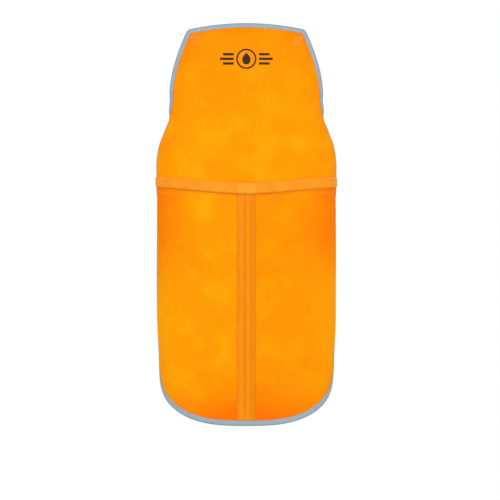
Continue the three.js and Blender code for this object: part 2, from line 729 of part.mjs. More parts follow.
addPanels();
addBindings();
addWaist();
addWaistWebbing();
addSocket(addBeltStrap(-1, "left_belt_strap", sewnTail));
addPlug(addBeltStrap(1, "right_belt_strap", tailLength));
addKeeper(1);
addTabs();
addRings();
addNeckStrap();
addSlider();

export default part;
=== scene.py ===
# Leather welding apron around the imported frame.
# Flat coordinates everywhere: u across the leather, z up, w out of its inner face, in metres.
import math
import json
import bpy
import bmesh
from mathutils import Matrix, Vector, noise


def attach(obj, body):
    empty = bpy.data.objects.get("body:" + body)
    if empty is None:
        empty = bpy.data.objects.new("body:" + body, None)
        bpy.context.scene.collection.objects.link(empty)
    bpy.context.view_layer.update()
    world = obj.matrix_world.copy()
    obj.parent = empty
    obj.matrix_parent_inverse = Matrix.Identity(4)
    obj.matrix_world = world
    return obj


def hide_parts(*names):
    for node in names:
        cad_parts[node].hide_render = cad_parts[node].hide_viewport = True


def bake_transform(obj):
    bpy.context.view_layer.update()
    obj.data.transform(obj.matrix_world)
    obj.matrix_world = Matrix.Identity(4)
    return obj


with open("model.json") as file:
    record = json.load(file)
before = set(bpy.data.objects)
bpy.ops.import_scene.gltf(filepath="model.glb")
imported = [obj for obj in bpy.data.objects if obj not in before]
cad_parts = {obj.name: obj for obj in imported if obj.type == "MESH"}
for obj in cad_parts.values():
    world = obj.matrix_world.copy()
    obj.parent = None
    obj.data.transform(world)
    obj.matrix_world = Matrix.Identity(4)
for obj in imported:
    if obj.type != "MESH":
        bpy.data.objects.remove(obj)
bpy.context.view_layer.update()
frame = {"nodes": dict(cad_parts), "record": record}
print("frame loaded")

mm = 0.001

apron = {
    "height": 990.6 * mm, "halfWidth": 330.2 * mm, "topHalfWidth": 145 * mm, "topDip": 16 * mm,
    "armholeDepth": 345 * mm, "underarmHalfWidth": 197 * mm, "underarmDepth": 190 * mm,
    "hemStart": 370 * mm, "hemPower": 2.9, "cornerRadius": 8 * mm, "sideCornerRadius": 20 * mm,
    "leather": 1.4 * mm, "gap": 0.3 * mm, "cell": 8 * mm,
    "tuck": 0.4 * mm, "middleGap": 0.15 * mm, "bibFoot": 76 * mm, "skirtCut": 597 * mm,
}
form = {
    # (height, half width of the flat leather that one quarter turn takes)
    "stations": [(0.06, 0.43), (0, 0.42), (-0.09, 0.33), (-0.164, 0.262), (-0.225, 0.224),
                 (-0.262, 0.237), (-0.3, 0.254), (-0.34, 0.262), (-0.38, 0.262), (-0.72, 0.262),
                 (-0.85, 0.254), (-1.4, 0.249)],
    "power": 3,
    "turnSteps": 400,
    "ripple": 1.6 * mm,
}
levels = {
    "bib": 0.0,
    "skirt": -apron["leather"] - apron["gap"],
}


# camera and stage

view = {"distance": 20.0, "width": 1.232, "side": 9 * mm, "height": -558 * mm, "sensor": 36,
        "reach": 100}


def addCamera():
    data = bpy.data.cameras.new("camera")
    data.sensor_width = view["sensor"]
    data.lens = data.sensor_width * view["distance"] / view["width"]
    data.clip_end = view["reach"]
    camera = bpy.data.objects.new("camera", data)
    camera.location = (view["side"], -view["distance"], view["height"])
    camera.rotation_euler = (math.pi / 2, 0, 0)
    bpy.context.collection.objects.link(camera)
    bpy.context.scene.camera = camera


# shader sockets as numbers

class Wire:
    # one output socket; arithmetic on it adds Math nodes
    def __init__(self, tree, socket):
        self.tree = tree
        self.socket = socket

    def math(self, operation, a, b=None):
        return node(self.tree, "ShaderNodeMath", {"operation": operation}, [a] if b is None else [a, b])

    def __add__(self, other):
        return self.math("ADD", self, other)

    def __radd__(self, other):
        return self.math("ADD", other, self)

    def __sub__(self, other):
        return self.math("SUBTRACT", self, other)

    def __rsub__(self, other):
        return self.math("SUBTRACT", other, self)

    def __mul__(self, other):
        return self.math("MULTIPLY", self, other)

    def __rmul__(self, other):
        return self.math("MULTIPLY", other, self)

    def __truediv__(self, other):
        return self.math("DIVIDE", self, other)

    def below(self, other):
        return self.math("LESS_THAN", self, other)

    def least(self, other):
        return self.math("MINIMUM", self, other)

    def most(self, other):
        return self.math("MAXIMUM", self, other)

    def size(self):
        return self.math("ABSOLUTE", self)

    def sine(self):
        return self.math("SINE", self)

    def part(self):
        return self.math("FRACT", self)

    def ramp(self, low, high):
        return ((self - low) / (high - low)).most(0.0).least(1.0)


def node(tree, kind, settings=None, inputs=None, output=0):
    made = tree.nodes.new(kind)
    for name, value in (settings or {}).items():
        setattr(made, name, value)
    pairs = inputs.items() if isinstance(inputs, dict) else enumerate(inputs or [])
    for name, value in pairs:
        if isinstance(value, Wire):
            tree.links.new(value.socket, made.inputs[name])
        else:
            made.inputs[name].default_value = value
    return Wire(tree, made.outputs[output])


# body form

def turnTable():
    steps = form["turnSteps"]
    xs, ys = [0.0], [0.0]
    for k in range(steps):
        heading = math.pi / 2 * ((k + 0.5) / steps) ** form["power"]
        xs.append(xs[-1] + math.cos(heading) / steps)
        ys.append(ys[-1] + math.sin(heading) / steps)
    return xs, ys


turnX, turnY = turnTable()


def wrapAt(z):
    stations = form["stations"]
    last = len(stations) - 2
    k = next((i for i in range(last + 1) if z >= stations[i + 1][0]), last)
    h0, v0 = stations[k]
    h1, v1 = stations[k + 1]
    hb, vb = stations[max(k - 1, 0)]
    ha, va = stations[min(k + 2, last + 1)]
    t = min(max((z - h0) / (h1 - h0), 0), 1)
    slopeIn = (v1 - vb) / (h1 - hb) * (h1 - h0)
    slopeOut = (va - v0) / (ha - h0) * (h1 - h0)
    return ((2 * t**3 - 3 * t**2 + 1) * v0 + (t**3 - 2 * t**2 + t) * slopeIn
            + (3 * t**2 - 2 * t**3) * v1 + (t**3 - t**2) * slopeOut)


def smooth(low, high, value):
    t = min(max((value - low) / (high - low), 0), 1)
    return t * t * (3 - 2 * t)


def ripple(u, z):
    # slow waves in the hide, still at the top, the side edges and the belt
    quiet = (1 - smooth(0.25, 0.31, abs(u))) * smooth(0.02, 0.14, -z)
    quiet *= 1 - 0.8 * math.exp(-((z + 0.4) / 0.03) ** 2)
    wave = noise.noise(Vector((u * 7, z * 3.2, 3.1))) + 0.45 * noise.noise(Vector((u * 17, z * 8, 9.4)))
    return form["ripple"] * quiet * wave * (1 + 1.2 * smooth(0.5, 0.95, -z))


def formPoint(u, z):
    wrap = wrapAt(z)
    reach = abs(u) / wrap
    place = min(reach, 1) * (len(turnX) - 1)
    k = min(int(place), len(turnX) - 2)
    part = place - k
    x = wrap * (turnX[k] + (turnX[k + 1] - turnX[k]) * part)
    y = wrap * (turnY[k] + (turnY[k + 1] - turnY[k]) * part + max(reach - 1, 0))
    heading = math.pi / 2 * min(reach, 1) ** form["power"]
    side = -1 if u < 0 else 1
    return Vector((side * x, y, z)), Vector((side * math.sin(heading), -math.cos(heading), 0))


def wrap(u, z, w):
    point, out = formPoint(u, z)
    return point + out * (w + ripple(u, z))


# outlines in flat coordinates

def curve(points, steps):
    # a smooth curve from its control points, without its first point
    made = []
    for k in range(1, steps + 1):
        t = k / steps
        level = [Vector(p) for p in points]
        while len(level) > 1:
            level = [a.lerp(b, t) for a, b in zip(level, level[1:])]
        made.append(level[0])
    return made


def rightEdge():
    half, dip, corner = apron["topHalfWidth"], apron["topDip"], apron["cornerRadius"]
    start = half - corner
    under, depth = apron["underarmHalfWidth"], apron["underarmDepth"]
    wide, arm, side = apron["halfWidth"], apron["armholeDepth"], apron["sideCornerRadius"]
    topCorner = (start, -dip * (start / half) ** 2)
    bibCorner = (half + 0.4 * corner, -dip - corner)
    flareEnd = (wide - 0.78 * side, -arm + 0.63 * side)
    points = [Vector((0, 0))]
    points += curve([(0, 0), (start / 2, 0), topCorner], 14)
    points += curve([topCorner, (half, -dip), bibCorner], 8)
    points += curve([bibCorner, (half + 19 * mm, -60 * mm), (under - 9 * mm, -0.62 * depth),
                     (under, -depth)], 18)
    points += curve([(under, -depth), (under + 9 * mm, -depth - 24 * mm),
                     (under + 53 * mm, -arm + 98 * mm), flareEnd], 20)
    points += curve([flareEnd, (wide, -arm), (wide, -arm - side)], 8)
    steps = 60
    hemDepth = apron["height"] - apron["hemStart"]
    power = 2 / apron["hemPower"]
    for k in range(steps + 1):
        turn = math.pi / 2 * k / steps
        points.append(Vector((wide * max(math.cos(turn), 0) ** power,
                              -apron["hemStart"] - hemDepth * math.sin(turn) ** power)))
    return points


def runLengths(points):
    # distance along the line at each of its points
    lengths = [0.0]
    for a, b in zip(points, points[1:]):
        lengths.append(lengths[-1] + (b - a).length)
    return lengths


def evenPlaces(points, step):
    # (segment, fraction of it) for points an even distance apart along the line
    lengths = runLengths(points)
    count = max(2, round(lengths[-1] / step))
    k = 0
    for i in range(count + 1):
        want = lengths[-1] * i / count
        while k < len(points) - 2 and lengths[k + 1] < want:
            k += 1
        span = lengths[k + 1] - lengths[k]
        yield k, (want - lengths[k]) / span if span else 0


def evenly(points, step):
    return [points[k].lerp(points[k + 1], part) for k, part in evenPlaces(points, step)]


def inset(points, amount):
    # the line moved inwards; its ends lie on the middle line, so they move straight up or down
    made = []
    for k, p in enumerate(points):
        along = points[min(k + 1, len(points) - 1)] - points[max(k - 1, 0)]
        if k in (0, len(points) - 1):
            along = Vector((1, 0)) if k == 0 else Vector((-1, 0))
        along.normalize()
        made.append(Vector((p.x + along.y * amount, p.y - along.x * amount)))
    return made


edgeRight = evenly(rightEdge(), 5 * mm)
waist = {"sideDepth": 404 * mm, "sag": 16 * mm, "width": 28 * mm, "halfLength": 250 * mm,
         "lap": 12 * mm, "under": 1.5 * mm}


def waistLine(u):
    t = min(abs(u) / waist["halfLength"], 1)
    return -waist["sideDepth"] - waist["sag"] * (1 - t * t * (3 - 2 * t))


# mesh helpers

def finish(name, bm, material, body="root", slot=None, replaced=(), smoothShade=True):
    mesh = bpy.data.meshes.new(name)
    for face in bm.faces:
        face.smooth = smoothShade
    bm.to_mesh(mesh)
    bm.free()
    made = bpy.data.objects.new(name, mesh)
    bpy.context.collection.objects.link(made)
    mesh.materials.append(material)
    if body:
        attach(made, body)
    if replaced:
        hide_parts(*replaced)
    return made


def thicken(made, thickness, side=0.0, bevel=0.0):
    solid = made.modifiers.new("thickness", "SOLIDIFY")
    solid.thickness = thickness
    solid.offset = side
    solid.use_even_offset = False
    if bevel:
        soften(made, bevel, 2, 50)


def soften(made, width, segments, angle):
    soft = made.modifiers.new("soft_edges", "BEVEL")
    soft.width = width
    soft.segments = segments
    soft.limit_method = "ANGLE"
    soft.angle_limit = math.radians(angle)


def gridPiece(name, cells, place, uvOf, material, **facts):
    # a grid whose every point is put in place by two fractions, along and across
    bm = bmesh.new()
    bmesh.ops.create_grid(bm, x_segments=cells[0], y_segments=cells[1], size=0.5)
    layer = bm.loops.layers.uv.new("UVMap")
    for face in bm.faces:
        for loop in face.loops:
            loop[layer].uv = uvOf(loop.vert.co.x + 0.5, loop.vert.co.y + 0.5)
    for vert in bm.verts:
        vert.co = place(vert.co.x + 0.5, vert.co.y + 0.5)
    return finish(name, bm, material, **facts)


def score(bm, axis, place):
    # cut the flat faces along one level or upright line
    at, normal = Vector((0, 0, 0)), Vector((0, 0, 0))
    at[axis] = place
    normal[axis] = 1
    bmesh.ops.bisect_plane(bm, geom=bm.verts[:] + bm.edges[:] + bm.faces[:], dist=1e-7,
                           plane_co=at, plane_no=normal)


def cutSheet(outline, cell):
    # one flat face of this outline, scored into small cells
    bm = bmesh.new()
    bm.faces.new([bm.verts.new((p.x, p.y, 0)) for p in outline])
    for axis in (0, 1):
        low = min(p[axis] for p in outline)
        high = max(p[axis] for p in outline)
        count = math.ceil((high - low) / cell)
        for k in range(1, count):
            score(bm, axis, low + (high - low) * k / count)
    return bm


def wrapSheet(bm, level):
    layer = bm.loops.layers.uv.new("UVMap")
    for face in bm.faces:
        for loop in face.loops:
            loop[layer].uv = (loop.vert.co.x, loop.vert.co.y)
    for vert in bm.verts:
        vert.co = wrap(vert.co.x, vert.co.y, level)
    bmesh.ops.recalc_face_normals(bm, faces=bm.faces)
    middle = min(bm.faces, key=lambda f: f.calc_center_median().y)
    if middle.normal.y > 0:
        bmesh.ops.reverse_faces(bm, faces=bm.faces)
    return bm


# leather panels

def polygonArea(points):
    return abs(sum(a.x * b.y - b.x * a.y for a, b in zip(points, points[1:] + points[:1]))) / 2


def bibOutline():
    tucked = inset(edgeRight, apron["tuck"])
    foot = -waist["sideDepth"] - waist["under"]
    right = [p for p in tucked if p.y > foot]
    wide = right[-1].x
    across = [wide * (1 - 2 * k / 80) for k in range(81)]
    bottom = [Vector((u, waistLine(u) - waist["under"])) for u in across]
    left = [Vector((-p.x, p.y)) for p in reversed(right[1:])]
    return right + bottom + left


def skirtOutline(side):
    tucked = inset(edgeRight, apron["tuck"])
    top = -waist["sideDepth"] - waist["under"]
    right = [p for p in tucked if p.y < top]
    middle = apron["middleGap"]
    wide = right[0].x
    across = [middle + (wide - middle) * k / 40 for k in range(41)]
    head = [Vector((u, waistLine(u) - waist["under"] + waist["lap"])) for u in across[:-2]]
    hem = [p for p in right if p.x > middle * 2]
    low = [Vector((middle, right[-1].y))]
    outline = head + hem + low
    if side < 0:
        outline = [Vector((-p.x, p.y)) for p in reversed(outline)]
    return outline


def addPanels(bibLeather, skirtLeather):
    outline = bibOutline()
    bm = wrapSheet(cutSheet(outline, apron["cell"]), levels["bib"])
    bib = finish("bib_leather", bm, bibLeather, slot="bib_leather", replaced=["bib_panel"])
    thicken(bib, apron["leather"], 1.0)
    polygonArea(outline)
    for side, word in ((-1, "left"), (1, "right")):
        outline = skirtOutline(side)
        bm = wrapSheet(cutSheet(outline, apron["cell"]), levels["skirt"])
        skirt = finish(word + "_skirt_leather", bm, skirtLeather, slot="skirt_leather",
                       replaced=[word + "_skirt_panel"])
        thicken(skirt, apron["leather"], 1.0)
        polygonArea(outline)


# thread

def threadTemplate():
    bm = bmesh.new()
    bmesh.ops.create_uvsphere(bm, u_segments=6, v_segments=4, radius=1)
    mesh = bpy.data.meshes.new("thread_template")
    bm.to_mesh(mesh)
    bm.free()
    return mesh


stitchLook = {"length": 3.1 * mm, "step": 4.4 * mm, "radius": 0.42 * mm, "flat": 0.8}
oneStitch = threadTemplate()


def stitchRows(name, rows, material, body="root", slot="seam_leather", step=stitchLook["step"]):
    # rows: lists of (point, outward direction) along each seam
    long, radius = stitchLook["length"] / 2, stitchLook["radius"]
    bm = bmesh.new()
    for row in rows:
        travelled = 0.0
        due = step / 2
        for (a, outA), (b, outB) in zip(row, row[1:]):
            span = (b - a).length
            while span and due <= travelled + span:
                part = (due - travelled) / span
                centre = a.lerp(b, part)
                along = (b - a).normalized()
                out = outA.lerp(outB, part)
                out = (out - along * out.dot(along)).normalized()
                across = out.cross(along)
                turn = Matrix((along * long, across * radius, out * radius * stitchLook["flat"])).transposed()
                first = len(bm.verts)
                bm.from_mesh(oneStitch)
                bm.verts.ensure_lookup_table()
                bmesh.ops.transform(bm, matrix=Matrix.Translation(centre) @ turn.to_4x4(),
                                    verts=bm.verts[first:])
                due += step
            travelled += span
    return finish(name, bm, material, body=body, slot=slot)


def seamLine(places):
    # flat places (u, z, w) to points on the wrapped leather with their outward directions
    return [(wrap(u, z, w), formPoint(u, z)[1]) for u, z, w in places]


# binding tape

tapeLook = {"thickness": 0.8 * mm, "bibWidth": 9.5 * mm, "skirtWidth": 12 * mm, "pucker": 0.14 * mm,
            "puckerTurns": 760, "waver": 0.25 * mm, "seam": 2 * mm, "around": 22, "flatWidth": 24 * mm,
            "between": 3}


def tapeProfile(t, width):
    # from the front inner edge, round the fold, to the back inner edge
    reach = apron["leather"] / 2
    radius = reach + apron["gap"] + tapeLook["thickness"] / 2
    flat = width - reach
    total = 2 * flat + math.pi * radius
    at = t * total
    if at < flat:
        return width - at, reach + radius
    if at > total - flat:
        return width - (total - at), reach - radius
    turn = (at - flat) / radius
    return reach - radius * math.sin(turn), reach + radius * math.cos(turn)


def edgeWithNormals():
    ahead = inset(edgeRight, 1.0)
    return [(p, (q - p)) for p, q in zip(edgeRight, ahead)]


def addBinding(name, stations, level, width, material, replaced):
    steps = len(stations) - 1
    lengths = runLengths([point for point, _ in stations])

    def place(s, t):
        k = round(s * steps)
        point, inward = stations[k]
        d, w = tapeProfile(t, width)
        face = 1 if t < 0.5 else -1
        w += tapeLook["pucker"] * math.sin(lengths[k] * tapeLook["puckerTurns"]) * face
        w += tapeLook["waver"] * noise.noise(Vector((lengths[k] * 40, t, level * 900)))
        return wrap(point.x + inward.x * d, point.y + inward.y * d, level + w)

    def uvOf(s, t):
        return lengths[round(s * steps)], t * tapeLook["flatWidth"]

    made = gridPiece(name, (steps, tapeLook["around"]), place, uvOf, material, slot="binding_tape",
                     replaced=replaced)
    thicken(made, tapeLook["thickness"])


def bindingPaths():
    # one run round the bib and one round the skirt, meeting at the foot of the bib
    right = edgeWithNormals()
    split = -waist["sideDepth"] - waist["under"]
    k = next(i for i, (point, _) in enumerate(right) if point.y <= split)
    before, after = right[k - 1], right[k]
    part = (before[0].y - split) / (before[0].y - after[0].y)
    meeting = (before[0].lerp(after[0], part), before[1].lerp(after[1], part))
    above, below = right[:k] + [meeting], [meeting] + right[k:]
    mirrored = [[(Vector((-p.x, p.y)), Vector((-n.x, n.y))) for p, n in run] for run in (above, below)]
    return mirrored[0][::-1] + above[1:], below + mirrored[1][::-1][1:]


def addBindings(tapeMaterial, threadMaterial):
    bib, skirt = bindingPaths()
    rows = []
    for name, stations, level, width, replaced in (
            ("bib_tape", bib, levels["bib"], tapeLook["bibWidth"], ["bib_binding"]),
            ("skirt_tape", skirt, levels["skirt"], tapeLook["skirtWidth"], ["skirt_binding"])):
        dense = []
        for (a, na), (b, nb) in zip(stations, stations[1:]):
            for k in range(tapeLook["between"]):
                part = k / tapeLook["between"]
                dense.append((a.lerp(b, part), na.lerp(nb, part)))
        dense.append(stations[-1])
        addBinding(name, dense, level, width, tapeMaterial, replaced)
        inward = width - tapeLook["seam"]
        for face in (1, -1):
            w = apron["leather"] / 2 + face * (apron["leather"] / 2 + apron["gap"] + tapeLook["thickness"])
            row = seamLine([(p.x + n.x * inward, p.y + n.y * inward, level + w) for p, n in stations])
            rows.append(row if face > 0 else [(point, -out) for point, out in row])
    stitchRows("binding_thread", rows, threadMaterial, slot="binding_tape")


# waist casing, centre patch and centre strip

casing = {"thickness": 1.0 * mm, "edgeRise": 1.2 * mm, "top": 5.4 * mm, "shoulder": 3.9 * mm,
          "patchHalf": 22.5 * mm, "patchInset": 0.8 * mm, "patchLift": 0.35 * mm, "creaseReach": 5 * mm,
          "rowInset": 2.2 * mm, "threadLift": 0.1 * mm, "patchRows": (3 * mm, 7.5 * mm),
          "closingRows": (-34.5 * mm, -25.5 * mm, 32.5 * mm, 40 * mm),
          "lapRow": (0.024, 0.306), "lapBelow": 11 * mm}


def casingRise(across):
    # height of the outer face above the bib's inner face, across the casing's width
    near = min(across, waist["width"] - across)
    low = apron["leather"] + apron["gap"] + casing["edgeRise"]
    return low + (casing["top"] - low) * smooth(1.4 * mm, casing["shoulder"], near)


def casingRow(u, heights, lift):
    # an upright row of stitches over the casing
    return seamLine([(u, waistLine(u) + a * mm, casingRise(a * mm) + lift) for a in heights])


def addCasing(material, patchMaterial, threadMaterial):
    half = waist["halfLength"]
    wide = waist["width"]

    def place(s, t):
        u = -half + 2 * half * s
        across = t * wide
        crease = 0.35 * mm * noise.noise(Vector((u * 95, across * 25, 2.2)))
        crease += 0.25 * mm * noise.noise(Vector((u * 260, across * 60, 5.2)))
        crease *= smooth(0, casing["creaseReach"], min(across, wide - across))
        return wrap(u, waistLine(u) + across, casingRise(across) + crease)

    made = gridPiece("casing_leather", (250, 28), place, lambda s, t: ((s - 0.5) * 2 * half, t * wide),
                     material, slot="seam_leather", replaced=["waist_casing"])
    thicken(made, casing["thickness"], -1)

    patchHalf = casing["patchHalf"]
    border = casing["patchInset"]

    def patchPlace(s, t):
        u = -patchHalf + 2 * patchHalf * s
        across = border + t * (wide - 2 * border)
        bulge = 0.25 * mm * noise.noise(Vector((u * 150, across * 90, 8.8)))
        level = casingRise(across) + casing["thickness"] + casing["patchLift"] + bulge
        return wrap(u, waistLine(u) + across, level)

    patch = gridPiece("casing_patch_leather", (36, 24), patchPlace,
                      lambda s, t: ((s - 0.5) * 2 * patchHalf, t * wide), patchMaterial,
                      slot="seam_leather", replaced=["casing_centre_patch"])
    thicken(patch, casing["thickness"], -1, 0.25 * mm)

    rows = []
    lift = casing["threadLift"]
    for across in (casing["rowInset"], wide - casing["rowInset"]):
        places = [(u, waistLine(u) + across, casingRise(across) + lift)
                  for u in (-half + 2 * mm + (2 * half - 4 * mm) * k / 160 for k in range(161))
                  if abs(u) > patchHalf + 1 * mm]
        cutAt = next(i for i, p in enumerate(places) if p[0] > 0)
        rows += [seamLine(places[:cutAt]), seamLine(places[cutAt:])]
    onPatch = casing["thickness"] + casing["patchLift"] + lift
    for side in (-1, 1):
        for edge in casing["patchRows"]:
            rows.append(casingRow(side * (patchHalf - edge), range(3, 26), onPatch))
    # short upright rows that close the casing beside the patch
    rows += [casingRow(u, range(4, 25), lift) for u in casing["closingRows"]]
    # the row that holds the lap of bib over skirt, a finger's width below the casing
    first, last = casing["lapRow"]
    for side in (-1, 1):
        us = [side * (first + (last - first) * k / 60) for k in range(61)]
        rows.append(seamLine([(u, waistLine(u) - casing["lapBelow"], levels["skirt"] + apron["leather"])
                              for u in us]))
    stitchRows("waist_thread", rows, threadMaterial)


strip = {"half": 22.5 * mm, "thickness": 1.2 * mm, "ridges": (-11.2 * mm, 3.4 * mm), "long": 0.556,
         "ridgeHeight": 0.9 * mm, "ridgeWidth": 1.5 * mm, "rib": 0.16 * mm, "clear": 0.3 * mm,
         "edgeRow": 19.8 * mm, "besideRidge": 3 * mm, "crossRows": (7 * mm, 13 * mm), "rowTop": 4 * mm,
         "threadLift": 0.05 * mm}


def stripRise(u, z):
    base = levels["skirt"] + apron["leather"] + apron["gap"] + strip["thickness"]
    ridge = sum(math.exp(-((u - at) / strip["ridgeWidth"]) ** 2) for at in strip["ridges"])
    ribs = strip["rib"] * math.sin(z * 1500 + 2.5 * noise.noise(Vector((u * 60, z * 90, 1.7))))
    return base + strip["ridgeHeight"] * ridge + ribs * (1 - smooth(0.6, 0.95, abs(u) / strip["half"]))


def addStrip(material, threadMaterial):
    half = strip["half"]
    foot = -apron["height"] + tapeLook["skirtWidth"] + strip["clear"]

    def place(s, t):
        u = -half + 2 * half * t
        top = waistLine(u) - waist["under"] - strip["clear"]
        z = top + (foot - top) * s
        return wrap(u, z, stripRise(u, z))

    made = gridPiece("centre_strip_leather", (420, 48), place,
                     lambda s, t: (-half + 2 * half * t, -waist["sideDepth"] - strip["long"] * s), material,
                     slot="seam_leather", replaced=["centre_seam_strip"])
    thicken(made, strip["thickness"], -1 if faceForward(made) else 1)
    rows = []
    top = waistLine(0) - strip["rowTop"]
    edge, beside, lift = strip["edgeRow"], strip["besideRidge"], strip["threadLift"]
    for u in (-edge, edge, strip["ridges"][0] - beside, strip["ridges"][1] + beside):
        rows.append(seamLine([(u, top + (foot - top) * k / 120, stripRise(u, 0.1) + lift)
                              for k in range(121)]))
    for below in strip["crossRows"]:
        rows.append(seamLine([(u * mm, waistLine(0) - below, stripRise(u * mm, 0.1) + lift)
                              for u in range(-19, 20)]))
    stitchRows("strip_thread", rows, threadMaterial)


def faceForward(made):
    # true where most of the piece faces the front
    return sum(f.normal.y for f in made.data.polygons) < 0


# webbing

joints = {j["name"]: j for j in frame["record"]["behaviour"]["joints"]}
web = {"width": 20 * mm, "thickness": 1.2 * mm, "level": 2.8 * mm, "stub": 1.3 * mm, "exit": 6 * mm,
       "hidden": 12 * mm, "flexReach": 6 * mm, "run": 168 * mm, "barRadius": 1.3 * mm, "inset": 1.8 * mm,
       "lean": 6 * mm, "leanDepth": 60 * mm, "share": 0.94, "across": 10, "crease": 1.2 * mm,
       "leanOver": (8 * mm, 34 * mm), "threadSink": 0.1 * mm, "tacks": (16 * mm, 26 * mm),
       # across and down from the fold's corner, in millimetres
       "foldRow": ((2.5, 7), (2.5, 17.5), (9, 17.5)),
       "tails": {"left": 32 * mm, "right": 90 * mm}}


def arcPoints(centre, radius, start, over):
    # half a turn from one direction, over another
    turns = [math.pi * k / 12 for k in range(13)]
    return [centre + start * radius * math.cos(turn) + over * radius * math.sin(turn) for turn in turns]


def beltMiddle(u):
    return waistLine(u) + waist["width"] / 2


def beltSidePath(flexHeight, tail):
    # (outward level, height) of the hanging half: down, under its bar and back up inside
    bar = flexHeight - web["run"]
    level = web["stub"] + web["thickness"] / 2
    low = level - web["lean"]
    radius = web["barRadius"] + apron["gap"] + web["thickness"] / 2
    centre = Vector((low - radius, bar))
    points = [Vector((level, beltMiddle(1) + web["width"] / 2)), Vector((level, flexHeight - 1 * mm))]
    points += [Vector((low, flexHeight - web["leanDepth"])), Vector((low, bar + 12 * mm))]
    points += arcPoints(centre, radius, Vector((1, 0)), Vector((0, -1)))
    inner = low - web["inset"]
    points += [Vector((inner, bar + 12 * mm)), Vector((inner, bar + tail))]
    return evenly(points, 1 * mm)


def addBeltHalf(word, material):
    side = -1 if word == "left" else 1
    joint = joints[word + "_belt_swing"]
    flex = Vector(joint["pos_m"])
    path = beltSidePath(flex.z, web["tails"][word])
    foldAt = apron["halfWidth"] + web["exit"]
    begin = waist["halfLength"] - web["hidden"]
    before = foldAt - begin
    after = len(path) * 1 * mm + web["width"]
    wide = web["width"]
    crease = web["crease"]
    high = web["level"] + web["thickness"] / 2
    low = web["stub"] + web["thickness"] / 2
    steps = round((before + after) / (1 * mm))

    def along(s):
        return -before + (before + after) * s

    def place(s, t):
        delta = along(s)
        q = wide * t
        lean = 1 - smooth(*web["leanOver"], abs(delta))
        if delta < 0:
            u = foldAt + delta + q * lean
            z = beltMiddle(min(u, 1)) + wide / 2 - q
            level = low + (high - low) * (0.5 + 0.5 * smooth(0, crease, -delta))
            return wrap(side * u, z, level)
        down = delta + q * lean
        u = foldAt + q
        k = min(down / (1 * mm), len(path) - 1.001)
        point = path[int(k)].lerp(path[int(k) + 1], k - int(k))
        bend = (high - low) * 0.5 * (1 - smooth(0, crease, delta))
        return wrap(side * u, point.y, point.x + bend)

    made = gridPiece(word + "_belt_webbing", (steps, web["across"]), place,
                     lambda s, t: (along(s), wide * t), material, body=None, slot="webbing",
                     replaced=[word + "_belt_strap"])
    thicken(made, web["thickness"] * web["share"])
    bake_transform(made)
    return side, foldAt


def addWaistWebbing(material):
    half = waist["halfLength"] - web["hidden"] - 1 * mm
    wide = web["width"]
    level = web["level"] + web["thickness"] / 2

    def place(s, t):
        u = -half + 2 * half * s
        return wrap(u, beltMiddle(u) - wide / 2 + wide * t, level)

    made = gridPiece("waist_belt_webbing", (160, 4), place, lambda s, t: (2 * half * s, wide * t),
                     material, slot="webbing", replaced=["waist_webbing"])
    thicken(made, web["thickness"] * web["share"])


def beltThread(word, side, foldAt, material):
    # a short angled row on the fold, and bar tacks that close the doubled left end
    low = web["stub"] + web["thickness"] - web["lean"]
    topEdge = beltMiddle(foldAt) + web["width"] / 2
    out = web["level"] + web["thickness"] - web["threadSink"]
    rows = [seamLine([(side * (foldAt + a * mm), topEdge - b * mm, out) for a, b in web["foldRow"]])]
    stitchRows(word + "_fold_thread", rows, material, slot="webbing", step=3.2 * mm)
    if word == "left":
        flex = Vector(joints["left_belt_swing"]["pos_m"])
        bar = flex.z - web["run"]
        rows = []
        for height in web["tacks"]:
            rows.append(seamLine([(side * (foldAt + (2 + 2 * k) * mm), bar + height,
                                   low - web["threadSink"]) for k in range(9)]))
        stitchRows("left_belt_thread", rows, material, body="left_belt", slot="webbing", step=2.6 * mm)


neck = {"tabHeight": 30 * mm, "bar": 3 * mm, "drop": 15 * mm, "rest": 0.5 * mm, "straight": 105 * mm,
        "curve": 130 * mm, "bow": 8 * mm, "tail": 88 * mm, "sewnTail": 34 * mm, "sliderBar": 1.8 * mm,
        "tabInset": 17 * mm, "ringCorner": 3 * mm, "ringSlack": 0.9 * mm, "boxGrow": 2 * mm,
        "closeAt": 12 * mm, "easeAt": 7 * mm, "ease": 1.5 * mm, "boxFoot": 3 * mm, "boxSide": 2.5 * mm}
neckHinge = Vector(joints["neck_strap_swing"]["pos_m"])
tabX = apron["topHalfWidth"] - neck["tabInset"]
tabLoop = neck["bar"] / math.sqrt(2) + apron["gap"] + web["thickness"] / 2
ringOut = tabLoop + web["thickness"] / 2 + apron["gap"] + neck["bar"] / 2 + neck["rest"]
ringTilt = math.asin(ringOut / neck["drop"])
ringCentre = neckHinge + Vector((0, math.sin(ringTilt), -math.cos(ringTilt))) * neck["drop"]


def sweptStrap(name, path, across, width, material, **facts):
    # webbing along a path, with the direction of its width at every point
    steps = len(path) - 1
    lengths = runLengths(path)

    def place(s, t):
        k = round(s * steps)
        along = (path[min(k + 1, steps)] - path[max(k - 1, 0)]).normalized()
        wide = across[k] - along * across[k].dot(along)
        return path[k] + wide.normalized() * width * (t - 0.5)

    made = gridPiece(name, (steps, web["across"]), place,
                     lambda s, t: (lengths[round(s * steps)], width * t), material, **facts)
    thicken(made, web["thickness"] * web["share"])
    return lengths[-1]


def evenPath(points, across, step):
    # resample a 3D path and its width directions together
    path, wide = [], []
    for k, part in evenPlaces(points, step):
        path.append(points[k].lerp(points[k + 1], part))
        wide.append(across[k].lerp(across[k + 1], part).normalized())
    for _ in range(4):
        path = [path[0]] + [(a + b * 2 + c) / 4 for a, b, c in zip(path, path[1:], path[2:])] + [path[-1]]
    return path, wide


def crossedBox(half, low, high):
    # a box with both its diagonals, in two runs of stitches
    return [[(-half, low), (half, low), (half, high), (-half, high), (-half, low), (half, high)],
            [(half, low), (-half, high)]]


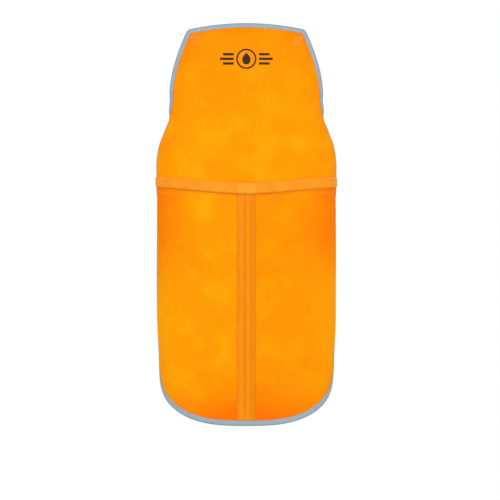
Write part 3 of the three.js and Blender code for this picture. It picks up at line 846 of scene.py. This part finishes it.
def addTabs(material, threadMaterial):
    rows, frontRows = [], []
    for word, side in (("left", -1), ("right", 1)):
        centre = Vector((side * tabX, neckHinge.y, neckHinge.z))
        foot = neckHinge.z - neck["tabHeight"]
        front = neckHinge.y - tabLoop
        inner = front + web["thickness"] + apron["gap"]
        points = [Vector((side * tabX, front, foot))]
        points += arcPoints(centre, tabLoop, Vector((0, -1, 0)), Vector((0, 0, 1)))
        closed = centre.z - neck["closeAt"]
        points += [Vector((side * tabX, inner + neck["ease"], centre.z - neck["easeAt"])),
                   Vector((side * tabX, inner, closed)), Vector((side * tabX, inner, foot))]
        path, wide = evenPath(points, [Vector((1, 0, 0))] * len(points), 0.8 * mm)
        sweptStrap(word + "_neck_webbing_tab", path, wide, web["width"], material, slot="webbing",
                   replaced=[word + "_neck_tab"])
        back = inner + web["thickness"] / 2
        low, half = foot + neck["boxFoot"], web["width"] / 2 - neck["boxSide"]
        for line in crossedBox(half, low, closed):
            rows.append([(Vector((side * tabX + x, back, z)), Vector((0, 1, 0))) for x, z in line])
        w = apron["leather"] + casing["threadLift"]
        for grow in (0, neck["boxGrow"]):
            for line in crossedBox(half + grow, low - grow, closed + grow):
                frontRows.append(seamLine([(side * tabX + x, z, w) for x, z in line]))
    stitchRows("tab_thread", rows, threadMaterial, slot="webbing", step=3 * mm)
    stitchRows("bib_corner_thread", frontRows, threadMaterial, slot="bib_leather", step=3.4 * mm)


def addRings(material):
    for word, side in (("left", -1), ("right", 1)):
        half = web["width"] / 2 + neck["ringSlack"] + neck["bar"] / 2
        corner = neck["ringCorner"]
        x, foot = half - corner, -neck["drop"] + corner
        outline = []
        for cx, cz, start in ((x, -corner, 0), (-x, -corner, 90), (-x, foot, 180), (x, foot, 270)):
            for k in range(7):
                turn = math.radians(start + 15 * k)
                outline.append(Vector((cx + corner * math.cos(turn), cz + corner * math.sin(turn))))
        outline.append(outline[0].copy())
        steps = len(outline) - 1
        down = Vector((0, math.sin(ringTilt), -math.cos(ringTilt)))
        facing = Vector((0, math.cos(ringTilt), math.sin(ringTilt)))
        pivot = Vector((side * tabX, neckHinge.y, neckHinge.z))

        def place(s, t):
            k = round(s * steps)
            a, b = outline[(k - 1) % steps], outline[(k + 1) % steps]
            flat = (b - a).normalized()
            outward = Vector((flat.y, -flat.x))
            turn = 2 * math.pi * t
            at = outline[k % steps] + outward * neck["bar"] / 2 * math.cos(turn)
            return pivot + Vector((1, 0, 0)) * at.x - down * at.y + facing * neck["bar"] / 2 * math.sin(turn)

        made = gridPiece(word + "_neck_wire_ring", (steps, 16), place, lambda s, t: (s, t), material,
                         body="neck_loop", slot="steel", replaced=[word + "_neck_ring"])
        bm = bmesh.new()
        bm.from_mesh(made.data)
        bmesh.ops.remove_doubles(bm, verts=bm.verts, dist=1e-6)
        bmesh.ops.recalc_face_normals(bm, faces=bm.faces)
        bm.to_mesh(made.data)
        bm.free()


def addNeckStrap(material, threadMaterial):
    runY = ringCentre.y - tabLoop
    endY = runY + web["thickness"] + neck["sliderBar"] + 2 * apron["gap"]
    sewnY = runY + web["thickness"] + 2 * apron["gap"]
    ringZ = ringCentre.z

    def at(side, y, below):
        return Vector((side * tabX, y, ringZ - below * mm))

    outward, inward = Vector((1, 0, 0)), Vector((-1, 0, 0))
    up, back = Vector((0, 0, 1)), Vector((0, 1, 0))
    points = [at(-1, sewnY, neck["sewnTail"] / mm), at(-1, sewnY, 14), at(-1, sewnY + 0.8 * mm, 9)]
    points += arcPoints(Vector((-tabX, ringCentre.y, ringZ)), tabLoop, back, up)
    points += [at(-1, runY, 20), at(-1, runY, 60), at(-1, runY, neck["straight"] / mm)]
    across = [outward] * len(points)
    for k in range(1, 48):
        turn = math.pi * k / 48
        points.append(Vector((-tabX * math.cos(turn), runY + neck["bow"] * math.sin(turn),
                              ringZ - neck["straight"] - neck["curve"] * math.sin(turn))))
        across.append(Vector((math.cos(turn), math.sin(turn), 0)))
    last = [at(1, runY, neck["straight"] / mm), at(1, runY, 60), at(1, runY, 20)]
    last += arcPoints(Vector((tabX, ringCentre.y, ringZ)), tabLoop, -back, up)
    last += [at(1, endY + 0.8 * mm, 9), at(1, endY, 16), at(1, endY, 50),
             at(1, endY, neck["tail"] / mm)]
    path, wide = evenPath(points + last, across + [inward] * len(last), 1 * mm)
    length = sweptStrap("neck_webbing", path, wide, web["width"], material, body="neck_loop",
                        slot="webbing", replaced=["neck_strap"])
    rows = []
    outside = sewnY + web["thickness"] / 2
    for below in (18, 28):
        rows.append([(Vector((-tabX + (-8 + 2 * k) * mm, outside, ringZ - below * mm)), back)
                     for k in range(9)])
    stitchRows("neck_thread", rows, threadMaterial, body="neck_loop", slot="webbing", step=2.6 * mm)
    print("neck strap", round(length, 3), "m of webbing")


# moulded buckle, slider and keeper, from the frame's own solids with softened edges

moulded = {
    # frame node: (piece, body)
    "pieces": {"buckle_socket": ("socket_shell", "left_belt"), "buckle_plug": ("plug_body", "right_belt"),
               "front_prong": ("front_prong_arm", "front_prong"),
               "rear_prong": ("rear_prong_arm", "rear_prong"),
               "belt_keeper": ("keeper_loop", "belt_keeper"),
               "neck_slider": ("slider_frame", "neck_slider")},
    "round": 0.55 * mm,
}


def addMoulded(material):
    for source, (name, body) in moulded["pieces"].items():
        bm = bmesh.new()
        bm.from_mesh(frame["nodes"][source].data)
        bmesh.ops.remove_doubles(bm, verts=bm.verts, dist=2e-6)
        bmesh.ops.dissolve_limit(bm, angle_limit=math.radians(2), verts=bm.verts, edges=bm.edges)
        made = finish(name, bm, material, body=body, slot="plastic", replaced=[source])
        soften(made, moulded["round"], 3, 35)
        made.modifiers.new("flat_faces", "WEIGHTED_NORMAL")


# generic mark on the chest: a drop in a ring, with three plain bars on each side

mark = {"centre": -87 * mm, "ring": 25 * mm, "ringWidth": 4 * mm, "barLong": 34 * mm, "barHigh": 6 * mm,
        "barGap": 6 * mm, "ink": 0.06 * mm, "cell": 2.7 * mm}


def addMark(material):
    bm = bmesh.new()
    bmesh.ops.create_circle(bm, cap_ends=True, radius=mark["ring"], segments=64)
    middle = bm.faces[:]
    bmesh.ops.inset_individual(bm, faces=middle, thickness=mark["ringWidth"])
    bmesh.ops.delete(bm, geom=middle, context="FACES_ONLY")
    drop = []
    for k in range(40):
        turn = 2 * math.pi * k / 40
        reach = mark["ring"] * 0.5 * (1 - 0.42 * math.sin(turn) ** 3)
        drop.append(bm.verts.new((reach * 0.82 * math.cos(turn) * (1 - 0.35 * max(math.sin(turn), 0)),
                                  mark["ring"] * (0.56 * math.sin(turn) + 0.02), 0)))
    bm.faces.new(drop)
    for side in (-1, 1):
        for row in (-1, 0, 1):
            long = mark["barLong"] * (1 - 0.22 * abs(row))
            inner = mark["ring"] + mark["barGap"]
            z = row * mark["barHigh"] * 1.9
            low, high = z - mark["barHigh"] / 2, z + mark["barHigh"] / 2
            corners = [(inner, low), (inner + long, low), (inner + long, high), (inner, high)]
            bm.faces.new([bm.verts.new((side * x, y, 0)) for x, y in corners[::side]])
    for axis in (0, 1):
        for k in range(-26, 27):
            score(bm, axis, k * mark["cell"])
    bmesh.ops.translate(bm, vec=(0, mark["centre"], 0), verts=bm.verts)
    wrapSheet(bm, apron["leather"] + mark["ink"])
    made = finish("chest_mark", bm, material, slot="bib_leather")
    thicken(made, mark["ink"], 1.0)


# materials

def newMaterial(name):
    material = bpy.data.materials.new(name)
    material.use_nodes = True
    tree = material.node_tree
    return material, tree, tree.nodes["Principled BSDF"]


constantSockets = {"sheen": "Sheen Weight", "sheenRough": "Sheen Roughness", "sheenTint": "Sheen Tint",
                   "specular": "Specular IOR Level", "metal": "Metallic", "evenRough": "Roughness"}


def surface(tree, shader, colour, roughness=None, height=None, strength=0.5, distance=0.5 * mm,
            **constants):
    # colour, roughness and height vary over the surface; constants are set on the shader itself
    for name, value in constants.items():
        shader.inputs[constantSockets[name]].default_value = value
    tree.links.new(colour.socket, shader.inputs["Base Color"])
    if roughness is not None:
        tree.links.new(roughness.socket, shader.inputs["Roughness"])
    if height is not None:
        bump = node(tree, "ShaderNodeBump",
                    inputs={"Strength": strength, "Distance": distance, "Height": height})
        tree.links.new(bump.socket, shader.inputs["Normal"])


def flatPlace(tree):
    # the piece's own flat coordinates in metres
    return node(tree, "ShaderNodeTexCoord", output="UV")


def solidPlace(tree):
    return node(tree, "ShaderNodeTexCoord", output="Object")


def stretched(tree, place, scale):
    return node(tree, "ShaderNodeMapping", inputs={"Vector": place, "Scale": scale})


def clouds(tree, place, scale, detail=3.0, rough=0.55, seed=0.0):
    # grey noise between 0 and 1 with features of about 1 / scale metres
    shifted = node(tree, "ShaderNodeVectorMath", {"operation": "ADD"},
                   {0: place, 1: (seed, seed * 0.7, seed * 1.3)})
    return node(tree, "ShaderNodeTexNoise", inputs={"Vector": shifted, "Scale": scale, "Detail": detail,
                                                    "Roughness": rough}, output="Fac")


def blendColours(tree, part, first, second):
    return node(tree, "ShaderNodeMix", {"data_type": "RGBA"}, {0: part, 6: first, 7: second}, output=2)


def shade(tree, colour, amount):
    # colour times a grey
    return node(tree, "ShaderNodeVectorMath", {"operation": "SCALE"}, {0: colour, 3: amount})


def flatMaterial(name):
    # a new material with its flat place and that place's two axes
    material, tree, shader = newMaterial(name)
    place = flatPlace(tree)
    across = node(tree, "ShaderNodeSeparateXYZ", inputs=[place])
    return material, tree, shader, place, across, Wire(tree, across.socket.node.outputs[1])


# the edge tone is the colour of the painted shadow under the waist casing
hide = {
    "amber": (0.95, 0.305, 0.001, 1), "deep": (0.95, 0.24, 0.001, 1), "yellow": (0.96, 0.38, 0.002, 1),
    # the darker brown tone here paints the shade on the skirt's left hip
    "red": (0.95, 0.17, 0.001, 1), "hipShade": (0.66, 0.20, 0.002, 1), "edge": (0.62, 0.19, 0.003, 1),
    "nap": 0.42, "rough": 0.86, "bump": 0.8,
}


def napHeight(tree, place):
    # short brushed fibres over a slow uneven ground
    fibres = clouds(tree, stretched(tree, place, (1.0, 0.45, 1.0)), 1100, 4, 0.65, 3.1)
    ground = clouds(tree, place, 190, 3, 0.6, 7.7)
    return fibres, ground


def suede(name, tonesAt):
    # tonesAt gives the amount of each tone from the panel's flat axes and two patchy noises
    material, tree, shader, place, u, v = flatMaterial(name)
    cloud = clouds(tree, place, 7, 3, 0.6, 1.3) * 0.5 + clouds(tree, place, 26, 4, 0.62, 5.9) * 0.5
    bright = clouds(tree, place, 13, 4, 0.62, 11.0).ramp(0.47, 0.66)
    specks = clouds(tree, place, 520, 2, 0.7, 2.7)
    fibres, ground = napHeight(tree, place)
    colour = hide["amber"]
    for tone, amount in tonesAt(u, v, cloud, bright).items():
        colour = blendColours(tree, amount, colour, hide[tone])
    light = 1.0 + (fibres - 0.5) * hide["nap"] + (specks - 0.5) * 0.25 + (ground - 0.5) * 0.3
    surface(tree, shader, shade(tree, colour, light), hide["rough"] + (ground - 0.5) * 0.16,
            fibres * 0.45 + ground, hide["bump"], 0.45 * mm, sheen=0.1, sheenRough=0.45,
            sheenTint=(1.0, 0.42, 0.01, 1), specular=0.03)
    return material


def bibTones(u, v, cloud, bright):
    # deeper towards the top, warmest in the top corners, yellower just above the belt
    high = v.ramp(-0.24, -0.08)
    corners = (u.size() + v * 0.35).ramp(0.055, 0.125) * v.ramp(-0.12, -0.03)
    top = v.ramp(-0.045, -0.012) * 0.4
    return {"deep": (high * 0.35 + cloud.ramp(0.44, 0.62) * 0.4).least(1.0),
            "yellow": bright * (0.6 - high * 0.35),
            "red": (corners * 0.7).most(top) * cloud.ramp(0.3, 0.55)}


def skirtTones(u, v, cloud, bright):
    # redder beside the side edges under the belt and above the hem, with painted shade on the left hip below
    # the belt
    away = u.size()
    sides = away.ramp(0.11, 0.21) * v.ramp(-0.66, -0.5) * 0.62
    hem = 1 - (v + away * 0.25).ramp(-0.98, -0.8)
    lowSides = away.ramp(0.15, 0.25) * v.ramp(-0.9, -0.8) * (1 - v.ramp(-0.64, -0.54))
    belt = v.ramp(-0.7, -0.56) * (1 - v.ramp(-0.47, -0.42))
    right = u.ramp(-0.01, 0.02)
    return {"deep": (cloud.ramp(0.44, 0.62) * 0.45 + right * 0.45).least(1.0) * (1 - lowSides * 0.8),
            "yellow": (bright * (0.7 - right * 0.35)).most(lowSides * 0.65),
            "red": (sides * (0.55 + cloud * 0.9)).most(hem * hem * (0.95 + cloud * 0.9)).least(1.0),
            # painted shade on the left hip, in a band just below the belt
            "hipShade": away.ramp(0.2, 0.3) * belt * (cloud - u * 2.2).ramp(0.5, 1.25) * 0.8}


# the second pair of tones is lighter, a painted highlight on the raised centre patch
seamTones = {"warm": ((0.93, 0.305, 0.010, 1), (0.90, 0.265, 0.005, 1)),
             "patchHighlight": ((0.93, 0.345, 0.020, 1), (0.90, 0.305, 0.014, 1))}


def seamLeather(name, tones, paintedEdgeShadow=True):
    # thin smooth strip; a painted shadow darkens its lower edge
    material, tree, shader, place, u, v = flatMaterial(name)
    slow = clouds(tree, place, 30, 3, 0.6, 4.2)
    fine = clouds(tree, place, 620, 3, 0.65, 8.3)
    creases = clouds(tree, stretched(tree, place, (1.0, 0.35, 1.0)), 240, 3, 0.6, 6.6)
    colour = blendColours(tree, slow.ramp(0.35, 0.7), *seamTones[tones])
    if paintedEdgeShadow:
        # painted shadow along the strip's lower edge, weaker towards its ends
        shadowed = (1 - v.ramp(1.4 * mm, 2.6 * mm)) * (0.9 - u.size().ramp(0.1, 0.25) * 0.35)
        colour = blendColours(tree, shadowed, colour, hide["edge"])
    colour = shade(tree, colour, 1.0 + (fine - 0.5) * 0.3 + (creases - 0.5) * 0.35)
    surface(tree, shader, colour, 0.66 + (slow - 0.5) * 0.25, fine * 0.3 + creases, 0.6, 0.4 * mm,
            sheen=0.1, sheenRough=0.5, sheenTint=(1.0, 0.5, 0.1, 1), specular=0.16)
    return material


stripTones = {"light": (0.87, 0.265, 0.002, 1), "dark": (0.81, 0.225, 0.001, 1),
              "inner": (0.76, 0.20, 0.004, 1), "outer": (0.78, 0.19, 0.003, 1),
              # the ridge tone is lighter: a painted highlight on the strip's raised ridges
              "ridge": (0.95, 0.31, 0.012, 1)}


def stripLeather(name):
    material, tree, shader, place, u, v = flatMaterial(name)
    slow = clouds(tree, place, 24, 3, 0.6, 9.2)
    fine = clouds(tree, place, 560, 3, 0.65, 3.3)
    ribs = (v * 1450 + clouds(tree, place, 60, 2, 0.5, 1.0) * 5).sine() * 0.5 + 0.5
    ridge = (u - strip["ridges"][0]).size().least((u - strip["ridges"][1]).size())
    # mask of a painted highlight along the two raised ridges
    light = 1 - ridge.ramp(0.8 * mm, 3.2 * mm)
    between = (u - (strip["ridges"][0] + strip["ridges"][1]) / 2).size()
    colour = blendColours(tree, slow.ramp(0.3, 0.7), stripTones["light"], stripTones["dark"])
    inner = 1 - between.ramp(6.2 * mm, 7.2 * mm)
    colour = blendColours(tree, inner * 0.25, colour, stripTones["inner"])
    outer = (u - strip["ridges"][1]).ramp(4 * mm, 9 * mm)
    colour = blendColours(tree, outer * 0.4, colour, stripTones["outer"])
    # paint the highlight onto the ridges
    colour = blendColours(tree, light * 0.6, colour, stripTones["ridge"])
    colour = shade(tree, colour, 0.94 + ribs * 0.08 + (fine - 0.5) * 0.16)
    surface(tree, shader, colour, 0.74 + (slow - 0.5) * 0.2, fine * 0.5 + ribs * 0.5, 0.55, 0.3 * mm,
            sheen=0.05, sheenRough=0.5, sheenTint=(1.0, 0.45, 0.03, 1), specular=0.05)
    return material


weave = {"pick": 0.95 * mm, "end": 0.8 * mm, "light": (0.86, 0.32, 0.035, 1), "dark": (0.52, 0.16, 0.014, 1)}


def webbingMaterial(name):
    # flat cotton tape: yarns cross in a small two-over-two diagonal
    material, tree, shader, place, u, v = flatMaterial(name)
    lengthwise = (v * (math.pi / weave["end"])).sine().size()
    crosswise = (u * (math.pi / weave["pick"])).sine().size()
    diagonal = (u * (1 / (2 * weave["pick"])) + v * (1 / (2 * weave["end"]))).part()
    over = diagonal.below(0.5)
    yarns = lengthwise * over + crosswise * (1 - over)
    fuzz = clouds(tree, place, 900, 3, 0.7, 2.2)
    fade = clouds(tree, place, 20, 3, 0.6, 6.1)
    colour = blendColours(tree, (yarns * 0.75 + fuzz * 0.25).ramp(0.2, 0.75), weave["dark"], weave["light"])
    colour = shade(tree, colour, 1.0 + (fade - 0.5) * 0.22)
    surface(tree, shader, colour, 0.8 + (fuzz - 0.5) * 0.2, yarns + fuzz * 0.3, 0.7, 0.35 * mm,
            sheen=0.2, sheenRough=0.5, specular=0.25)
    return material


tapeTones = {"dark": (0.15, 0.225, 0.29, 1), "light": (0.36, 0.47, 0.55, 1),
             "selvedge": (0.42, 0.52, 0.60, 1), "rib": 0.75 * mm, "yarn": 0.45 * mm}


def bindingMaterial(name):
    # ribbed polyester tape, ribs across its length, with painted shade along its fold
    material, tree, shader, place, u, v = flatMaterial(name)
    ribs = (u * (math.pi / tapeTones["rib"])).sine().size()
    threads = (v * (math.pi / tapeTones["yarn"])).sine().size()
    fuzz = clouds(tree, place, 700, 3, 0.65, 4.4)
    fade = clouds(tree, place, 28, 4, 0.6, 8.0)
    fromFold = (v - 12 * mm).size()
    selvedge = fromFold.ramp(11.2 * mm, 12 * mm)
    # painted shade along the fold, where the tape turns round the leather's edge
    fold = 1 - fromFold.ramp(1.6 * mm, 4.2 * mm)
    colour = blendColours(tree, (ribs * 0.6 + threads * 0.25 + fuzz * 0.3).ramp(0.15, 0.9),
                          tapeTones["dark"], tapeTones["light"])
    colour = blendColours(tree, selvedge * 0.5, colour, tapeTones["selvedge"])
    colour = shade(tree, colour, 0.98 + (fade - 0.5) * 0.35 - fold * 0.28)
    surface(tree, shader, colour, 0.62 + (fade - 0.5) * 0.3, ribs + threads * 0.25 + fuzz * 0.15,
            0.6, 0.22 * mm, sheen=0.15, sheenRough=0.4)
    return material


def threadMaterial(name, colour):
    material, tree, shader = newMaterial(name)
    place = solidPlace(tree)
    twist = clouds(tree, place, 1500, 2, 0.5, 1.9)
    fade = clouds(tree, place, 40, 2, 0.5, 3.8)
    surface(tree, shader, shade(tree, colour, 0.82 + twist * 0.2 + fade * 0.16), 0.5 + (fade - 0.5) * 0.3,
            twist, 0.5, 0.15 * mm, sheen=0.2)
    return material


def steelMaterial(name):
    # nickel plate with fine drawn scratches and a few dull spots
    material, tree, shader = newMaterial(name)
    place = solidPlace(tree)
    scratches = clouds(tree, stretched(tree, place, (0.12, 1.0, 1.0)), 2600, 3, 0.6, 5.5)
    spots = clouds(tree, place, 260, 4, 0.65, 9.9)
    colour = blendColours(tree, spots.ramp(0.55, 0.75) * 0.6, (0.66, 0.66, 0.64, 1), (0.42, 0.41, 0.38, 1))
    surface(tree, shader, colour, 0.2 + scratches * 0.14 + spots.ramp(0.5, 0.8) * 0.25,
            scratches + spots * 0.4, 0.25, 0.08 * mm, metal=1.0)
    return material


def plasticMaterial(name):
    # black moulded acetal, finely spark-textured, rubbed shinier on its high spots
    material, tree, shader = newMaterial(name)
    place = solidPlace(tree)
    grain = clouds(tree, place, 2400, 3, 0.6, 2.5)
    rubbed = clouds(tree, place, 150, 4, 0.6, 7.1)
    colour = blendColours(tree, rubbed.ramp(0.4, 0.75), (0.013, 0.013, 0.015, 1), (0.030, 0.030, 0.032, 1))
    surface(tree, shader, colour, 0.34 + rubbed * 0.22, grain, 0.35, 0.06 * mm, specular=0.5)
    return material


def inkMaterial(name):
    # dark print, thin enough that the nap breaks it up
    material, tree, shader = newMaterial(name)
    place = flatPlace(tree)
    fibres, ground = napHeight(tree, place)
    worn = (fibres * 0.6 + ground * 0.4).ramp(0.54, 0.68)
    colour = blendColours(tree, worn * 0.55, (0.030, 0.014, 0.008, 1), (0.36, 0.11, 0.008, 1))
    surface(tree, shader, colour, 0.78 + (ground - 0.5) * 0.2, fibres * 0.5 + ground, 0.5, 0.4 * mm,
            sheen=0.1, specular=0.25)
    return material


# light and stage

lights = {"world": 0.78, "seen": 1.0,
          "key": {"power": 64, "size": 3.0, "place": (-2.2, -3.6, 1.6), "aim": (0, 0, -0.45)},
          "fill": {"power": 40, "size": 3.2, "place": (2.8, -3.0, 0.2), "aim": (0, 0, -0.5)},
          "rim": {"power": 22, "size": 2.4, "place": (0.6, 3.2, 1.6), "aim": (0, 0.1, -0.4)}}
floor = {"height": -1.5, "half": 2.4, "tone": (0.80, 0.80, 0.79)}


def addLights():
    world = bpy.data.worlds.new("studio")
    bpy.context.scene.world = world
    world.use_nodes = True
    tree = world.node_tree
    background = tree.nodes["Background"]
    background.inputs["Color"].default_value = (1, 1, 1, 1)
    seen = node(tree, "ShaderNodeLightPath", output="Is Camera Ray")
    strength = lights["world"] + seen * (lights["seen"] - lights["world"])
    tree.links.new(strength.socket, background.inputs["Strength"])
    for name in ("key", "fill", "rim"):
        facts = lights[name]
        data = bpy.data.lights.new(name, "AREA")
        data.energy = facts["power"]
        data.size = facts["size"]
        lamp = bpy.data.objects.new(name, data)
        lamp.location = facts["place"]
        aim = Vector(facts["aim"]) - Vector(facts["place"])
        lamp.rotation_euler = aim.to_track_quat("-Z", "Y").to_euler()
        bpy.context.collection.objects.link(lamp)
    bpy.context.scene.view_settings.view_transform = "Standard"


def addFloor():
    bm = bmesh.new()
    bmesh.ops.create_grid(bm, x_segments=8, y_segments=8, size=floor["half"])
    bmesh.ops.translate(bm, vec=(0, 0, floor["height"]), verts=bm.verts)
    material, tree, shader = newMaterial("floor_paint")
    place = solidPlace(tree)
    tone = clouds(tree, place, 2, 2, 0.5, 1.0)
    surface(tree, shader, shade(tree, floor["tone"], 0.99 + tone * 0.02), evenRough=0.7)
    finish("floor", bm, material, body=None, smoothShade=False)


# the whole apron

addCamera()
addLights()
addFloor()
print("camera, lights and floor")

bibLeather = suede("bib_suede", bibTones)
skirtLeather = suede("skirt_suede", skirtTones)
casingLeather = seamLeather("casing_leather", "warm")
# the centre patch is painted lighter as a highlight on its raised bump
patchLeather = seamLeather("patch_leather", "patchHighlight", paintedEdgeShadow=False)
stripMaterial = stripLeather("strip_leather")
webMaterial = webbingMaterial("belt_webbing")
tapeMaterial = bindingMaterial("binding_tape")
leatherThread = threadMaterial("amber_thread", (0.95, 0.42, 0.05))
stripThread = threadMaterial("orange_thread", (0.90, 0.30, 0.02))
tapeThread = threadMaterial("grey_thread", (0.40, 0.48, 0.55))
steel = steelMaterial("nickel_plate")
plastic = plasticMaterial("black_acetal")
ink = inkMaterial("dark_ink")
print("materials")

addPanels(bibLeather, skirtLeather)
print("panels")
addBindings(tapeMaterial, tapeThread)
print("bindings")
addCasing(casingLeather, patchLeather, leatherThread)
addStrip(stripMaterial, stripThread)
print("casing and strip")
addWaistWebbing(webMaterial)
for word in ("left", "right"):
    beltThread(word, *addBeltHalf(word, webMaterial), leatherThread)
print("belt")
addTabs(webMaterial, leatherThread)
addRings(steel)
addNeckStrap(webMaterial, leatherThread)
print("neck strap")
addMoulded(plastic)
addMark(ink)
print("hardware and mark")

bpy.context.view_layer.update()
